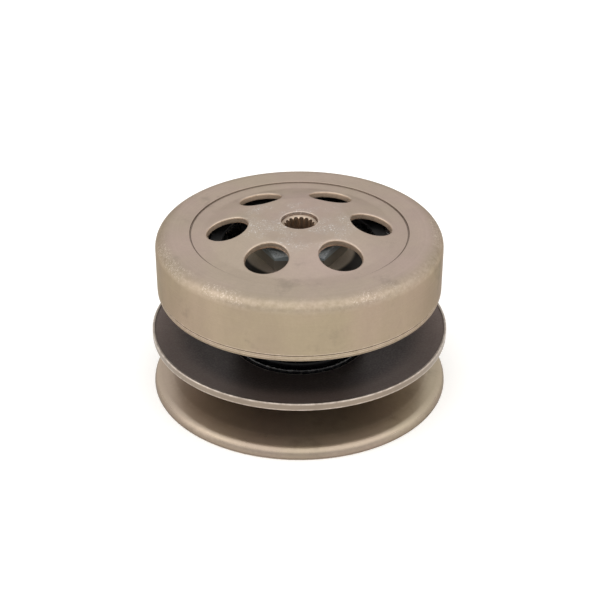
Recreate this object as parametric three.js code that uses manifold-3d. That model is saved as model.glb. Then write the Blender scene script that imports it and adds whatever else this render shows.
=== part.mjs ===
// Driven pulley set of a scooter's belt drive, standing on its fixed sheave, clutch bell on top.
// Millimetres, +Z up along the shaft axis; the origin is the centre of the circle that it stands on.
// The belt runs between the two sheaves. The upper one slides up and turns on three guide pins,
// against the large spring. Three centrifugal shoes swing out and take the clutch bell with them.
import * as THREE from 'three';
import { mergeVertices } from 'three/addons/utils/BufferGeometryUtils.js';
import Module from 'manifold-3d';

const wasm = await Module();
wasm.setup();

// Driving dimensions.
const BELT_SLOPE = Math.tan(THREE.MathUtils.degToRad(13));
const FIXED_RADIUS = 70.47;
const MOVABLE_RADIUS = 70.28;
const BELT_ROOT_RADIUS = 22;
const FIXED_BELT_TOP = 15.4;
const MOVABLE_BELT_BASE = 15.7;
const MOVABLE_RIM_TOP = 30.9;
const SHEAVE_TRAVEL = 14;
const CAM_TURN = 0.7;
const BELL_RADIUS = 67;
const BELL_BASE = 51.08;
const BELL_SHOULDER_TOP = 79.72;
const BELL_HUB_TOP = 85.06;
const BELL_SHEET = 3.2;
const DRUM_RADIUS = 62.8;
const WINDOW_COUNT = 6;
const WINDOW_RADIUS = 10.03;
const WINDOW_CIRCLE = 33.54;
const WINDOW_AZIMUTH = 3.87;
const SPLINE_TEETH = 16;
const SPLINE_AZIMUTH = 14.4;
const HUB_RADIUS = 17;
const HUB_BORE = 14.05;
const PIN_HEIGHT = 40.5;
const SHOE_COUNT = 3;
const SHOE_BASE = 55.7;
const SHOE_TOP = 71.7;
const PIVOT_CIRCLE = 46;
const PIVOT_AZIMUTH = WINDOW_AZIMUTH + 30;
const PIVOT_PIN_RADIUS = 4;

// Facets round a full circle.
const RIM_FACETS = 40;
const PLATE_FACETS = 32;
const HUB_FACETS = 24;
const SMALL_FACETS = 12;

const COLOURS = {
  nickel: { color: 0xb6a490, roughness: 0.42, metalness: 0.9 },
  darkSheave: { color: 0x3a332d, roughness: 0.5, metalness: 0.7 },
  zinc: { color: 0x8f979b, roughness: 0.4, metalness: 0.9 },
  steel: { color: 0x9a9691, roughness: 0.35, metalness: 1 },
  casting: { color: 0xa6a49f, roughness: 0.6, metalness: 0.8 },
  friction: { color: 0x4a3c30, roughness: 0.9, metalness: 0 },
  gloss: { color: 0x0b0b0c, roughness: 0.2, metalness: 0.3 },
  rubber: { color: 0x141414, roughness: 0.8, metalness: 0 },
};

const pulleySet = new THREE.Group();

// ---- shape helpers -------------------------------------------------------------------------

function radians(degrees) {
  return THREE.MathUtils.degToRad(degrees);
}

function onCircle(radius, degrees) {
  return [radius * Math.cos(radians(degrees)), radius * Math.sin(radians(degrees))];
}

// Points of an arc, both ends included.
function arc(centreX, centreY, radius, fromDegrees, toDegrees, steps) {
  const points = [];
  for (let i = 0; i <= steps; i += 1) {
    const [x, y] = onCircle(radius, fromDegrees + ((toDegrees - fromDegrees) * i) / steps);
    points.push([centreX + x, centreY + y]);
  }
  return points;
}

// One closed skin: shared corners merged and triangles without area dropped.
function welded(geometry) {
  geometry.deleteAttribute('normal');
  geometry.deleteAttribute('uv');
  const merged = mergeVertices(geometry, 1e-4);
  const kept = [];
  const index = merged.index.array;
  for (let i = 0; i < index.length; i += 3) {
    const [a, b, c] = [index[i], index[i + 1], index[i + 2]];
    if (a !== b && b !== c && c !== a) kept.push(a, b, c);
  }
  merged.setIndex(kept);
  return merged;
}

// A body of revolution about Z from a closed outline of [radius, height] pairs, outer side going up.
function turned(outline, facets) {
  const points = outline.map(([radius, height]) => new THREE.Vector2(radius, height));
  points.push(points[0].clone());
  const geometry = new THREE.LatheGeometry(points, facets);
  geometry.rotateX(Math.PI / 2);
  return welded(geometry);
}

function ring(innerRadius, outerRadius, base, top, facets) {
  return turned([[innerRadius, base], [outerRadius, base], [outerRadius, top], [innerRadius, top]], facets);
}

function roundBar(radius, base, top, facets) {
  const geometry = new THREE.CylinderGeometry(radius, radius, top - base, facets);
  geometry.rotateX(Math.PI / 2);
  geometry.translate(0, 0, (base + top) / 2);
  return welded(geometry);
}

function plate(outline, base, top) {
  const shape = new THREE.Shape(outline.map(([x, y]) => new THREE.Vector2(x, y)));
  const geometry = new THREE.ExtrudeGeometry(shape, { depth: top - base, bevelEnabled: false });
  geometry.translate(0, 0, base);
  return welded(geometry);
}

// A wire of round section along a smooth curve through the points.
function wire(points, radius, sides, steps) {
  const section = new THREE.Shape(
    arc(0, 0, radius, 0, 360 - 360 / sides, sides - 1).map(([x, y]) => new THREE.Vector2(x, y)),
  );
  const path = new THREE.CatmullRomCurve3(points);
  return welded(new THREE.ExtrudeGeometry(section, { steps, extrudePath: path, bevelEnabled: false }));
}

function turnedBy(geometry, degrees) {
  return geometry.clone().rotateZ(radians(degrees));
}

function movedBy(geometry, x, y, z) {
  return geometry.clone().translate(x, y, z);
}

function solid(geometry) {
  return new wasm.Manifold(new wasm.Mesh({
    numProp: 3,
    vertProperties: new Float32Array(geometry.attributes.position.array),
    triVerts: new Uint32Array(geometry.index.array),
  }));
}

function skin(body) {
  const mesh = body.getMesh();
  const geometry = new THREE.BufferGeometry();
  geometry.setAttribute('position', new THREE.BufferAttribute(mesh.vertProperties, 3));
  geometry.setIndex(new THREE.BufferAttribute(mesh.triVerts, 1));
  return geometry;
}

function cut(geometry, tools) {
  return skin(tools.reduce((body, tool) => body.subtract(solid(tool)), solid(geometry)));
}

function join(pieces) {
  return skin(pieces.slice(1).reduce((body, piece) => body.add(solid(piece)), solid(pieces[0])));
}

function common(first, second) {
  return skin(solid(first).intersect(solid(second)));
}

function addPiece(name, geometry, look) {
  geometry.computeVertexNormals();
  const mesh = new THREE.Mesh(geometry, new THREE.MeshStandardMaterial(COLOURS[look]));
  mesh.name = name;
  pulleySet.add(mesh);
}

// ---- sheaves -------------------------------------------------------------------------------

function fixedBeltHeight(radius) {
  return FIXED_BELT_TOP - (radius - BELT_ROOT_RADIUS) * BELT_SLOPE;
}

function movableBeltHeight(radius) {
  return MOVABLE_BELT_BASE + (radius - BELT_ROOT_RADIUS) * BELT_SLOPE;
}

// Dished steel disc with a rim rolled over and down; it stands on the rim's lower edge.
function fixedFace() {
  const rimRound = 3.4;
  const coneEnd = 66.6;
  const lipInner = 67.6;
  const dishEnd = 65.2;
  const sheet = 3.5;
  const flangeRadius = 26;
  const flangeBase = 8.5;
  const boreRadius = HUB_RADIUS + 0.1;
  const roundCentre = fixedBeltHeight(coneEnd) - rimRound;
  return turned([
    [boreRadius, flangeBase],
    [flangeRadius - 2.5, flangeBase],
    [flangeRadius, fixedBeltHeight(flangeRadius) - sheet],
    [dishEnd, fixedBeltHeight(dishEnd) - sheet],
    [lipInner, 0],
    [FIXED_RADIUS, 0],
    ...arc(FIXED_RADIUS - rimRound, roundCentre, rimRound, 0, 75, 3),
    [BELT_ROOT_RADIUS, FIXED_BELT_TOP],
    [boreRadius, FIXED_BELT_TOP],
  ], RIM_FACETS);
}

// Dished disc with a square rim, a narrow flat rim top and a recess for the seal collar's flange.
function movableFace() {
  const sheet = 3.1;
  const rimTopInner = 69.2;
  const recessRadius = 31.8;
  const recessFloor = 19.6;
  const boreRadius = 21.6;
  return turned([
    [boreRadius, MOVABLE_BELT_BASE],
    [BELT_ROOT_RADIUS, MOVABLE_BELT_BASE],
    [MOVABLE_RADIUS, movableBeltHeight(MOVABLE_RADIUS)],
    [MOVABLE_RADIUS, MOVABLE_RIM_TOP],
    [rimTopInner, MOVABLE_RIM_TOP],
    [rimTopInner - 0.3, movableBeltHeight(rimTopInner) + sheet],
    [recessRadius + 0.4, movableBeltHeight(recessRadius) + sheet],
    [recessRadius, recessFloor],
    [boreRadius, recessFloor],
  ], RIM_FACETS);
}

// Cutter for one helical cam slot: a slanted round-ended outline wrapped round the hub.
function camSlot(azimuth) {
  const halfWidth = 4.3;
  const wrapRadius = HUB_RADIUS + 0.4;
  const innerRadius = 16.4;
  const outerRadius = 27;
  const run = CAM_TURN * wrapRadius;
  const lean = (Math.atan2(SHEAVE_TRAVEL, run) * 180) / Math.PI;
  const sideSteps = 3;
  const outline = [
    ...arc(0, 0, halfWidth, lean - 90, lean + 90, 5),
    ...arc(-run, -SHEAVE_TRAVEL, halfWidth, lean + 90, lean + 270, 5),
  ];
  const middle = outline.length / 2;
  const side = (from, to) => {
    const points = [];
    for (let i = 1; i < sideSteps; i += 1) {
      const share = i / sideSteps;
      points.push([from[0] + (to[0] - from[0]) * share, from[1] + (to[1] - from[1]) * share]);
    }
    return points;
  };
  const closed = [
    ...outline.slice(0, middle),
    ...side(outline[middle - 1], outline[middle]),
    ...outline.slice(middle),
    ...side(outline[outline.length - 1], outline[0]),
  ];
  const geometry = plate(closed, 0, outerRadius - innerRadius);
  const position = geometry.attributes.position;
  for (let i = 0; i < position.count; i += 1) {
    const angle = radians(azimuth) + position.getX(i) / wrapRadius;
    const radius = innerRadius + position.getZ(i);
    position.setXYZ(i, radius * Math.cos(angle), radius * Math.sin(angle), PIN_HEIGHT + position.getY(i));
  }
  return geometry;
}

const PIN_AZIMUTHS = [30, 150, 270];
const SLEEVE_RADIUS = 21.5;
const SLEEVE_BORE = HUB_RADIUS + 0.2;
const SLEEVE_TOP = 50;
const LOWER_O_RING = { radius: 21.3, section: 0.5, height: 20.6 };
const UPPER_O_RING = { radius: 21, section: 0.5, height: 46 };

// The movable sheave's sleeve, with three cam slots, two O-ring grooves and a seat at each end for a seal.
function movableHub() {
  const sealSeat = 19.7;
  const sealDepth = 3.3;
  const groove = ({ radius, section, height }) => [
    [SLEEVE_RADIUS, height - section],
    [radius - section - 0.05, height - section],
    [radius - section - 0.05, height + section],
    [SLEEVE_RADIUS, height + section],
  ];
  const sleeve = turned([
    [sealSeat, MOVABLE_BELT_BASE],
    [SLEEVE_RADIUS, MOVABLE_BELT_BASE],
    ...groove(LOWER_O_RING),
    ...groove(UPPER_O_RING),
    [SLEEVE_RADIUS, SLEEVE_TOP],
    [sealSeat, SLEEVE_TOP],
    [sealSeat, SLEEVE_TOP - sealDepth],
    [SLEEVE_BORE, SLEEVE_TOP - sealDepth],
    [SLEEVE_BORE, MOVABLE_BELT_BASE + sealDepth],
    [sealSeat, MOVABLE_BELT_BASE + sealDepth],
  ], HUB_FACETS);
  return cut(sleeve, PIN_AZIMUTHS.map(camSlot));
}

function oRing({ radius, section, height }) {
  return turned(arc(radius, height, section, 0, 300, 5), HUB_FACETS);
}

// Lip seal between the sleeve and the hub tube that it slides on.
function oilSeal(base) {
  return turned([
    [HUB_RADIUS + 0.2, base],
    [19.5, base],
    [19.5, base + 2.8],
    [18.2, base + 2.8],
    [HUB_RADIUS + 0.2, base + 1.4],
  ], HUB_FACETS);
}

// Thin sleeve over the cam slots, with the flange that the large spring presses on and a low lip round it.
function sealCollar() {
  const boreRadius = 21.75;
  const wallRadius = 23.4;
  const flangeRadius = 31;
  const flangeBase = 19.9;
  const flangeTop = 21.3;
  const lipInner = 29.95;
  const lipTop = 22.3;
  const ringSeat = 22.4;
  const collarTop = 47.4;
  return turned([
    [ringSeat, flangeBase],
    [flangeRadius, flangeBase],
    [flangeRadius, lipTop],
    [lipInner, lipTop],
    [lipInner, flangeTop],
    [wallRadius + 1, flangeTop],
    [wallRadius, flangeTop + 1],
    [wallRadius, collarTop],
    [boreRadius, collarTop],
    [boreRadius, flangeTop + 0.9],
    [ringSeat, flangeTop + 0.2],
  ], HUB_FACETS);
}

// ---- fixed hub -----------------------------------------------------------------------------

const HUB_BASE = 2;
const HUB_SHOULDER = 66.3;
const HUB_TOP = 77.2;
const THREAD_RADIUS = 14;
const BALL_RACE_BASE = 55;
const BALL_RACE_TOP = 62;
const CIRCLIP_BASE = 53.4;
const CIRCLIP_TOP = 54.6;

// Radial bar at pin height, between two radii, on the given azimuth.
function radialBar(radius, innerEnd, outerEnd, azimuth, facets) {
  const bar = new THREE.CylinderGeometry(radius, radius, outerEnd - innerEnd, facets);
  bar.rotateZ(-Math.PI / 2);
  bar.translate((innerEnd + outerEnd) / 2, 0, PIN_HEIGHT);
  return turnedBy(welded(bar), azimuth);
}

// The tube that the sheaves sit on: bearings inside, a shoulder and thread at the clutch end.
function hubTube() {
  const throatRadius = 12;
  const clipGroove = 14.9;
  const tube = turned([
    [HUB_BORE, HUB_BASE],
    [HUB_RADIUS, HUB_BASE],
    [HUB_RADIUS, HUB_SHOULDER],
    [THREAD_RADIUS, HUB_SHOULDER],
    [THREAD_RADIUS, HUB_TOP - 0.8],
    [THREAD_RADIUS - 0.8, HUB_TOP],
    [throatRadius, HUB_TOP],
    [throatRadius, BALL_RACE_TOP + 0.2],
    [HUB_BORE, BALL_RACE_TOP + 0.2],
    [HUB_BORE, CIRCLIP_TOP + 0.1],
    [clipGroove, CIRCLIP_TOP + 0.1],
    [clipGroove, CIRCLIP_BASE - 0.1],
    [HUB_BORE, CIRCLIP_BASE - 0.1],
  ], HUB_FACETS);
  return cut(tube, PIN_AZIMUTHS.map((azimuth) => radialBar(3.1, 12, 19, azimuth, SMALL_FACETS)));
}

function guidePin(azimuth) {
  return radialBar(3, 14.4, 21.1, azimuth, SMALL_FACETS);
}

function guideRoller(azimuth) {
  const sleeve = radialBar(3.9, 17.35, 21.2, azimuth, SMALL_FACETS);
  return cut(sleeve, [radialBar(3.15, 15, 24, azimuth, SMALL_FACETS)]);
}

const NEEDLE_BASE = 5.5;
const NEEDLE_TOP = 25.5;

function needleShell() {
  const lipRadius = 11.9;
  const wall = 0.9;
  const outer = HUB_BORE - 0.1;
  return turned([
    [lipRadius, NEEDLE_BASE],
    [outer, NEEDLE_BASE],
    [outer, NEEDLE_TOP],
    [lipRadius, NEEDLE_TOP],
    [lipRadius, NEEDLE_TOP - wall],
    [outer - wall - 0.15, NEEDLE_TOP - wall],
    [outer - wall - 0.15, NEEDLE_BASE + wall],
    [lipRadius, NEEDLE_BASE + wall],
  ], HUB_FACETS);
}

// Needles and the cage that carries them, as one turning piece.
function needleCage() {
  const needleCount = 10;
  const needleCircle = 11.4;
  const needleRadius = 1.15;
  const ringHeight = 1.5;
  const clearance = 1.2;
  const low = NEEDLE_BASE + clearance;
  const high = NEEDLE_TOP - clearance;
  const pieces = [
    ring(10.6, 12.2, low, low + ringHeight, needleCount * 2),
    ring(10.6, 12.2, high - ringHeight, high, needleCount * 2),
  ];
  for (let i = 0; i < needleCount; i += 1) {
    const needle = roundBar(needleRadius, low + ringHeight / 2, high - ringHeight / 2, 6);
    pieces.push(turnedBy(movedBy(needle, needleCircle, 0, 0), (i * 360) / needleCount));
  }
  return join(pieces);
}

function hubSeal() {
  const outer = HUB_BORE - 0.1;
  return turned([
    [10.5, 3.6],
    [12, 2.5],
    [outer, 2.5],
    [outer, 5.1],
    [12.2, 5.1],
    [10.7, 4.4],
  ], HUB_FACETS);
}

const BALL_CIRCLE = 10.75;
const BALL_RADIUS = 1.9;
const GROOVE_RADIUS = 2.1;
const BALL_HEIGHT = (BALL_RACE_BASE + BALL_RACE_TOP) / 2;

function ballRaceOuter() {
  const landRadius = 11.9;
  const outer = HUB_BORE - 0.1;
  const reach = (Math.acos((landRadius - BALL_CIRCLE) / GROOVE_RADIUS) * 180) / Math.PI;
  return turned([
    [landRadius, BALL_RACE_BASE],
    [outer, BALL_RACE_BASE],
    [outer, BALL_RACE_TOP],
    [landRadius, BALL_RACE_TOP],
    ...arc(BALL_CIRCLE, BALL_HEIGHT, GROOVE_RADIUS, reach, -reach, 3),
  ], HUB_FACETS);
}

function ballRaceInner() {
  const landRadius = 9.6;
  const boreRadius = 7.5;
  const reach = (Math.acos((BALL_CIRCLE - landRadius) / GROOVE_RADIUS) * 180) / Math.PI;
  return turned([
    [boreRadius, BALL_RACE_BASE],
    [landRadius, BALL_RACE_BASE],
    ...arc(BALL_CIRCLE, BALL_HEIGHT, GROOVE_RADIUS, 180 + reach, 180 - reach, 3),
    [landRadius, BALL_RACE_TOP],
    [boreRadius, BALL_RACE_TOP],
  ], HUB_FACETS);
}

// Balls and their cage as one turning piece.
function ballCage() {
  const ballCount = 7;
  const cageHalfHeight = 1.2;
  const pieces = [
    ring(10.2, 11.3, BALL_HEIGHT - cageHalfHeight, BALL_HEIGHT + cageHalfHeight, ballCount * 4),
  ];
  for (let i = 0; i < ballCount; i += 1) {
    const ball = welded(new THREE.SphereGeometry(BALL_RADIUS, 6, 4));
    pieces.push(turnedBy(movedBy(ball, BALL_CIRCLE, 0, BALL_HEIGHT), (i * 360) / ballCount));
  }
  return join(pieces);
}

// Open spring ring with the gap centred on +X and a lug on each side of it.
function openRing(innerRadius, outerRadius, gapDegrees, base, top, steps) {
  const half = gapDegrees / 2;
  return plate([
    ...arc(0, 0, outerRadius, half, 360 - half, steps),
    ...arc(0, 0, innerRadius, 360 - half, half, steps),
  ], base, top);
}

function bearingCirclip() {
  const outerRadius = 14.6;
  const lugCircle = 11.6;
  const body = openRing(12.6, outerRadius, 40, CIRCLIP_BASE, CIRCLIP_TOP, 14);
  const lug = (azimuth) => {
    const disc = roundBar(1.5, CIRCLIP_BASE, CIRCLIP_TOP, 8);
    const eye = roundBar(0.7, CIRCLIP_BASE - 1, CIRCLIP_TOP + 1, 6);
    return [disc, eye].map((piece) => turnedBy(movedBy(piece, lugCircle, 0, 0), azimuth));
  };
  const [left, leftEye] = lug(26);
  const [right, rightEye] = lug(-26);
  return cut(join([body, left, right]), [leftEye, rightEye]);
}

// ---- spring --------------------------------------------------------------------------------

const SPRING_BASE = 21.5;
const SPRING_TOP = 64.8;

// Height along a compression spring: flat end coils and an even climb between them.
function springHeight(turns, totalTurns, flatTurns, low, high) {
  const share = (turns - flatTurns) / (totalTurns - 2 * flatTurns);
  return low + (high - low) * THREE.MathUtils.clamp(share, 0, 1);
}

function contraSpring() {
  const coilRadius = 27.5;
  const wireRadius = 2.2;
  const totalTurns = 5;
  const flatTurns = 0.45;
  const stepsPerTurn = 14;
  const steps = totalTurns * stepsPerTurn;
  const points = [];
  for (let i = 0; i <= steps; i += 1) {
    const turns = i / stepsPerTurn;
    const [x, y] = onCircle(coilRadius, 360 * turns + 200);
    const low = SPRING_BASE + wireRadius;
    const high = SPRING_TOP - wireRadius;
    points.push(new THREE.Vector3(x, y, springHeight(turns, totalTurns, flatTurns, low, high)));
  }
  return wire(points, wireRadius, 6, steps);
}

function springSeat() {
  return turned([
    [24.5, SPRING_TOP + 0.1],
    [31.2, SPRING_TOP + 0.1],
    [31.2, 66.1],
    [22, 66.1],
  ], HUB_FACETS);
}

// ---- clutch --------------------------------------------------------------------------------

const PLATE_BASE = 52.6;
const PLATE_TOP = 55.4;
const RAISED_BASE = 66.5;
const RAISED_TOP = 69.2;
const DAMPER_CIRCLE = 50.8;
const DAMPER_OFFSET = 60;
const RETAINER_BASE = 72;
const RETAINER_TOP = 73.6;
const PIVOT_TOP = 75.1;

function pivotAzimuth(index) {
  return PIVOT_AZIMUTH + (index * 360) / SHOE_COUNT;
}

function atCircle(geometry, circleRadius, azimuth) {
  return turnedBy(movedBy(geometry, circleRadius, 0, 0), azimuth);
}

// Pressed plate that carries the shoes: a flat outer ring and a raised middle over the spring.
function drivePlate() {
  const rimRadius = 56;
  const body = turned([
    [THREAD_RADIUS + 0.25, RAISED_BASE],
    [31.6, RAISED_BASE],
    [32.8, PLATE_BASE],
    [rimRadius, PLATE_BASE],
    [rimRadius, PLATE_TOP],
    [35.6, PLATE_TOP],
    [34.2, RAISED_TOP - 3],
    [31.4, RAISED_TOP],
    [THREAD_RADIUS + 0.25, RAISED_TOP],
  ], PLATE_FACETS);
  const holes = [];
  for (let i = 0; i < SHOE_COUNT; i += 1) {
    const pivot = pivotAzimuth(i);
    const pinHole = roundBar(PIVOT_PIN_RADIUS + 0.1, 50, 60, SMALL_FACETS);
    const studHole = roundBar(2.1, 50, 60, 8);
    const lightening = roundBar(5, 50, 60, SMALL_FACETS);
    holes.push(atCircle(pinHole, PIVOT_CIRCLE, pivot));
    holes.push(atCircle(studHole, DAMPER_CIRCLE, pivot + DAMPER_OFFSET));
    holes.push(atCircle(lightening, 46.5, pivot + 30));
  }
  return cut(body, holes);
}

function pivotPin() {
  const head = roundBar(5.4, 51.4, PLATE_BASE - 0.3, SMALL_FACETS);
  const shank = roundBar(PIVOT_PIN_RADIUS, 52, PIVOT_TOP, SMALL_FACETS);
  const clipGroove = ring(3.2, 6, RETAINER_TOP + 0.1, RETAINER_TOP + 1, SMALL_FACETS);
  return cut(join([head, shank]), [clipGroove]);
}

function damperStud() {
  return join([roundBar(3.2, 51.6, PLATE_BASE - 0.3, 8), roundBar(2, 52, 65, 8)]);
}

function damper() {
  return ring(2.2, 4.2, SHOE_BASE + 0.1, 63.6, SMALL_FACETS);
}

function eClip() {
  return turnedBy(openRing(3.5, 6, 80, RETAINER_TOP + 0.15, RETAINER_TOP + 0.95, 8), 180);
}

// Ring with a lobe at each pivot pin, which keeps the shoes down on their pins.
function retainerPlate() {
  const lobes = [];
  const holes = [];
  for (let i = 0; i < SHOE_COUNT; i += 1) {
    const azimuth = pivotAzimuth(i);
    lobes.push(atCircle(roundBar(7, RETAINER_BASE, RETAINER_TOP, SMALL_FACETS), PIVOT_CIRCLE, azimuth));
    holes.push(atCircle(roundBar(4.3, 70, 76, SMALL_FACETS), PIVOT_CIRCLE, azimuth));
  }
  const band = ring(36.4, 42, RETAINER_BASE, RETAINER_TOP, PLATE_FACETS);
  return cut(join([band, ...lobes]), holes);
}

function clutchNut() {
  const acrossFlats = 39;
  const base = RAISED_TOP + 0.3;
  const top = 77.3;
  const chamfer = 1.6;
  const corner = acrossFlats / Math.sqrt(3);
  const hexagon = plate(arc(0, 0, corner, 0, 300, 5), base, top);
  const limits = turned([
    [THREAD_RADIUS + 0.1, base],
    [acrossFlats / 2, base],
    [corner + 0.1, base + chamfer],
    [corner + 0.1, top - chamfer],
    [acrossFlats / 2, top],
    [THREAD_RADIUS + 0.1, top],
  ], HUB_FACETS);
  return common(hexagon, limits);
}

function sector(innerRadius, outerRadius, from, to, steps, base, top) {
  return plate([
    ...arc(0, 0, outerRadius, from, to, steps),
    ...arc(0, 0, innerRadius, to, from, steps),
  ], base, top);
}

const SHOE_OUTER = 58.5;
const SHOE_INNER = 43.2;
const HOOK_HEIGHT = 68.6;
const HOOK_OFFSET = 92;

// Cast shoe with its pivot eye at azimuth 0, a hole round the damper and a notch for the return spring.
function clutchShoe() {
  const eyeTop = 64.8;
  const arcStart = 12;
  const arcEnd = 97;
  const block = sector(SHOE_INNER, SHOE_OUTER, arcStart, arcEnd, 10, SHOE_BASE, SHOE_TOP);
  const neck = sector(SHOE_INNER - 1.2, 53, -1, arcStart + 8, 2, SHOE_BASE, eyeTop);
  const eye = atCircle(roundBar(7.2, SHOE_BASE, eyeTop, SMALL_FACETS), PIVOT_CIRCLE, 0);
  const pinBore = atCircle(roundBar(PIVOT_PIN_RADIUS + 0.2, 50, 80, SMALL_FACETS), PIVOT_CIRCLE, 0);
  const damperHole = atCircle(roundBar(6.2, 50, 80, SMALL_FACETS), DAMPER_CIRCLE, DAMPER_OFFSET);
  const pocket = sector(47, 55, 22, 44, 2, 65, 80);
  const notchOutline = [[-3.6, -1.6], [1.8, -1.6], [1.8, 8], [-3.6, 8]];
  const hookNotch = atCircle(plate(notchOutline, 66.6, 80), PIVOT_CIRCLE, HOOK_OFFSET);
  const hookHole = atCircle(roundBar(1.6, 60, 80, 6), PIVOT_CIRCLE, HOOK_OFFSET);
  return cut(join([block, neck, eye]), [pinBore, damperHole, pocket, hookNotch, hookHole]);
}

function shoeLining() {
  return sector(SHOE_OUTER + 0.1, 61.35, 12, 97, 10, SHOE_BASE + 0.2, SHOE_TOP - 0.2);
}

// Return spring from the tail of one shoe to the next shoe's pivot pin, for the shoe at azimuth 0.
function shoeSpring() {
  const wireRadius = 0.7;
  const loopRadius = PIVOT_PIN_RADIUS + 1.1;
  const coilRadius = 2.3;
  const coilTurns = 4;
  const [pinX, pinY] = onCircle(PIVOT_CIRCLE, 360 / SHOE_COUNT);
  const [tailX, tailY] = onCircle(PIVOT_CIRCLE, HOOK_OFFSET);
  const pin = new THREE.Vector3(pinX, pinY, HOOK_HEIGHT);
  const tail = new THREE.Vector3(tailX, tailY, HOOK_HEIGHT);
  const along = tail.clone().sub(pin);
  const length = along.length();
  along.normalize();
  const across = new THREE.Vector3(-along.y, along.x, 0);
  const up = new THREE.Vector3(0, 0, 1);
  const at = (distance, side, rise) => pin.clone()
    .addScaledVector(along, distance).addScaledVector(across, side).addScaledVector(up, rise);
  const points = [];
  for (let i = 0; i <= 6; i += 1) {
    const angle = radians(40 + (i * 270) / 6);
    points.push(at(loopRadius * Math.cos(angle), loopRadius * Math.sin(angle), -0.1 * (6 - i)));
  }
  const coilStart = 7.4;
  const coilLength = 7.8;
  for (let i = 0; i <= coilTurns * 8; i += 1) {
    const angle = (i * Math.PI) / 4 - Math.PI / 2;
    const distance = coilStart + (coilLength * i) / (coilTurns * 8);
    points.push(at(distance, coilRadius * Math.sin(angle), coilRadius * Math.cos(angle)));
  }
  points.push(at(length - 4, -0.6, 0.4));
  points.push(at(length - 1, 0, 0));
  points.push(at(length, 0, -1.2));
  points.push(at(length, 0, -5));
  return wire(points, wireRadius, 4, 42);
}

// ---- clutch bell ---------------------------------------------------------------------------

const CONE_INNER = 22.5;
const CONE_OUTER = 44.4;
const STEP_RADIUS = 50.87;
const INNER_RING_TOP = 79.14;
const BELL_CONE_SLOPE = (BELL_HUB_TOP - INNER_RING_TOP) / (CONE_OUTER - CONE_INNER);
const BELL_BORE = 8.5;

// Deep pressed drum: flat shoulder, a shallow cone with six round windows, and a flat middle.
function clutchBell() {
  const shoulderRound = 6.1;
  const innerRound = 3;
  const roundCentre = BELL_SHOULDER_TOP - shoulderRound;
  const ceiling = BELL_SHOULDER_TOP - BELL_SHEET;
  const drum = turned([
    [DRUM_RADIUS, BELL_BASE],
    [BELL_RADIUS - 0.5, BELL_BASE],
    [BELL_RADIUS, BELL_BASE + 2],
    ...arc(BELL_RADIUS - shoulderRound, roundCentre, shoulderRound, 0, 90, 4),
    [STEP_RADIUS, BELL_SHOULDER_TOP],
    [STEP_RADIUS, INNER_RING_TOP],
    [CONE_OUTER, INNER_RING_TOP],
    [CONE_INNER, BELL_HUB_TOP],
    [BELL_BORE, BELL_HUB_TOP],
    [BELL_BORE, BELL_HUB_TOP - BELL_SHEET],
    [CONE_INNER - 0.4, BELL_HUB_TOP - BELL_SHEET],
    [CONE_OUTER - 0.4, INNER_RING_TOP - BELL_SHEET],
    [STEP_RADIUS + 2, ceiling],
    ...arc(DRUM_RADIUS - innerRound, ceiling - innerRound, innerRound, 90, 0, 2),
  ], RIM_FACETS);
  const windowHeight = BELL_HUB_TOP - (WINDOW_CIRCLE - CONE_INNER) * BELL_CONE_SLOPE;
  const windows = [];
  for (let i = 0; i < WINDOW_COUNT; i += 1) {
    const punch = roundBar(WINDOW_RADIUS, -8, 8, 16);
    punch.rotateY(Math.atan(BELL_CONE_SLOPE));
    punch.translate(WINDOW_CIRCLE, 0, windowHeight);
    windows.push(turnedBy(punch, WINDOW_AZIMUTH + (i * 360) / WINDOW_COUNT));
  }
  return cut(drum, windows);
}

function splineCutter(base, top) {
  const rootRadius = 7.1;
  const tipRadius = 6.35;
  const pitch = 360 / SPLINE_TEETH;
  const outline = [];
  for (let i = 0; i < SPLINE_TEETH; i += 1) {
    const groove = SPLINE_AZIMUTH + i * pitch;
    outline.push(onCircle(tipRadius, groove - pitch * 0.32));
    outline.push(onCircle(rootRadius, groove - pitch * 0.22));
    outline.push(onCircle(rootRadius, groove + pitch * 0.22));
    outline.push(onCircle(tipRadius, groove + pitch * 0.32));
  }
  return plate(outline, base, top);
}

// Forged hub under the bell's middle: flange, spigot and the long splined barrel.
function bellHub() {
  const barrelRadius = 11.5;
  const barrelBase = BALL_RACE_TOP + 0.3;
  const flangeTop = BELL_HUB_TOP - BELL_SHEET - 0.3;
  const flangeBase = 79;
  const spigotTop = 83.55;
  const blank = turned([
    [5.5, barrelBase],
    [barrelRadius, barrelBase],
    [barrelRadius, flangeBase],
    [20, flangeBase],
    [20, flangeTop],
    [BELL_BORE - 0.15, flangeTop],
    [BELL_BORE - 0.15, spigotTop],
    [7.7, spigotTop],
    [7.1, spigotTop - 0.6],
    [5.5, spigotTop - 0.6],
  ], HUB_FACETS);
  return cut(blank, [splineCutter(barrelBase - 1, spigotTop + 1)]);
}

// ---- the assembly --------------------------------------------------------------------------

addPiece('fixed_face', fixedFace(), 'nickel');
addPiece('hub_tube', hubTube(), 'steel');
addPiece('needle_bearing_shell', needleShell(), 'steel');
addPiece('needle_cage', needleCage(), 'steel');
addPiece('hub_seal', hubSeal(), 'rubber');
addPiece('ball_bearing_outer', ballRaceOuter(), 'steel');
addPiece('ball_bearing_inner', ballRaceInner(), 'steel');
addPiece('ball_cage', ballCage(), 'steel');
addPiece('bearing_circlip', bearingCirclip(), 'gloss');
PIN_AZIMUTHS.forEach((azimuth, i) => {
  addPiece(`guide_pin_${i + 1}`, guidePin(azimuth), 'steel');
  addPiece(`guide_roller_${i + 1}`, guideRoller(azimuth), 'steel');
});

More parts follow.
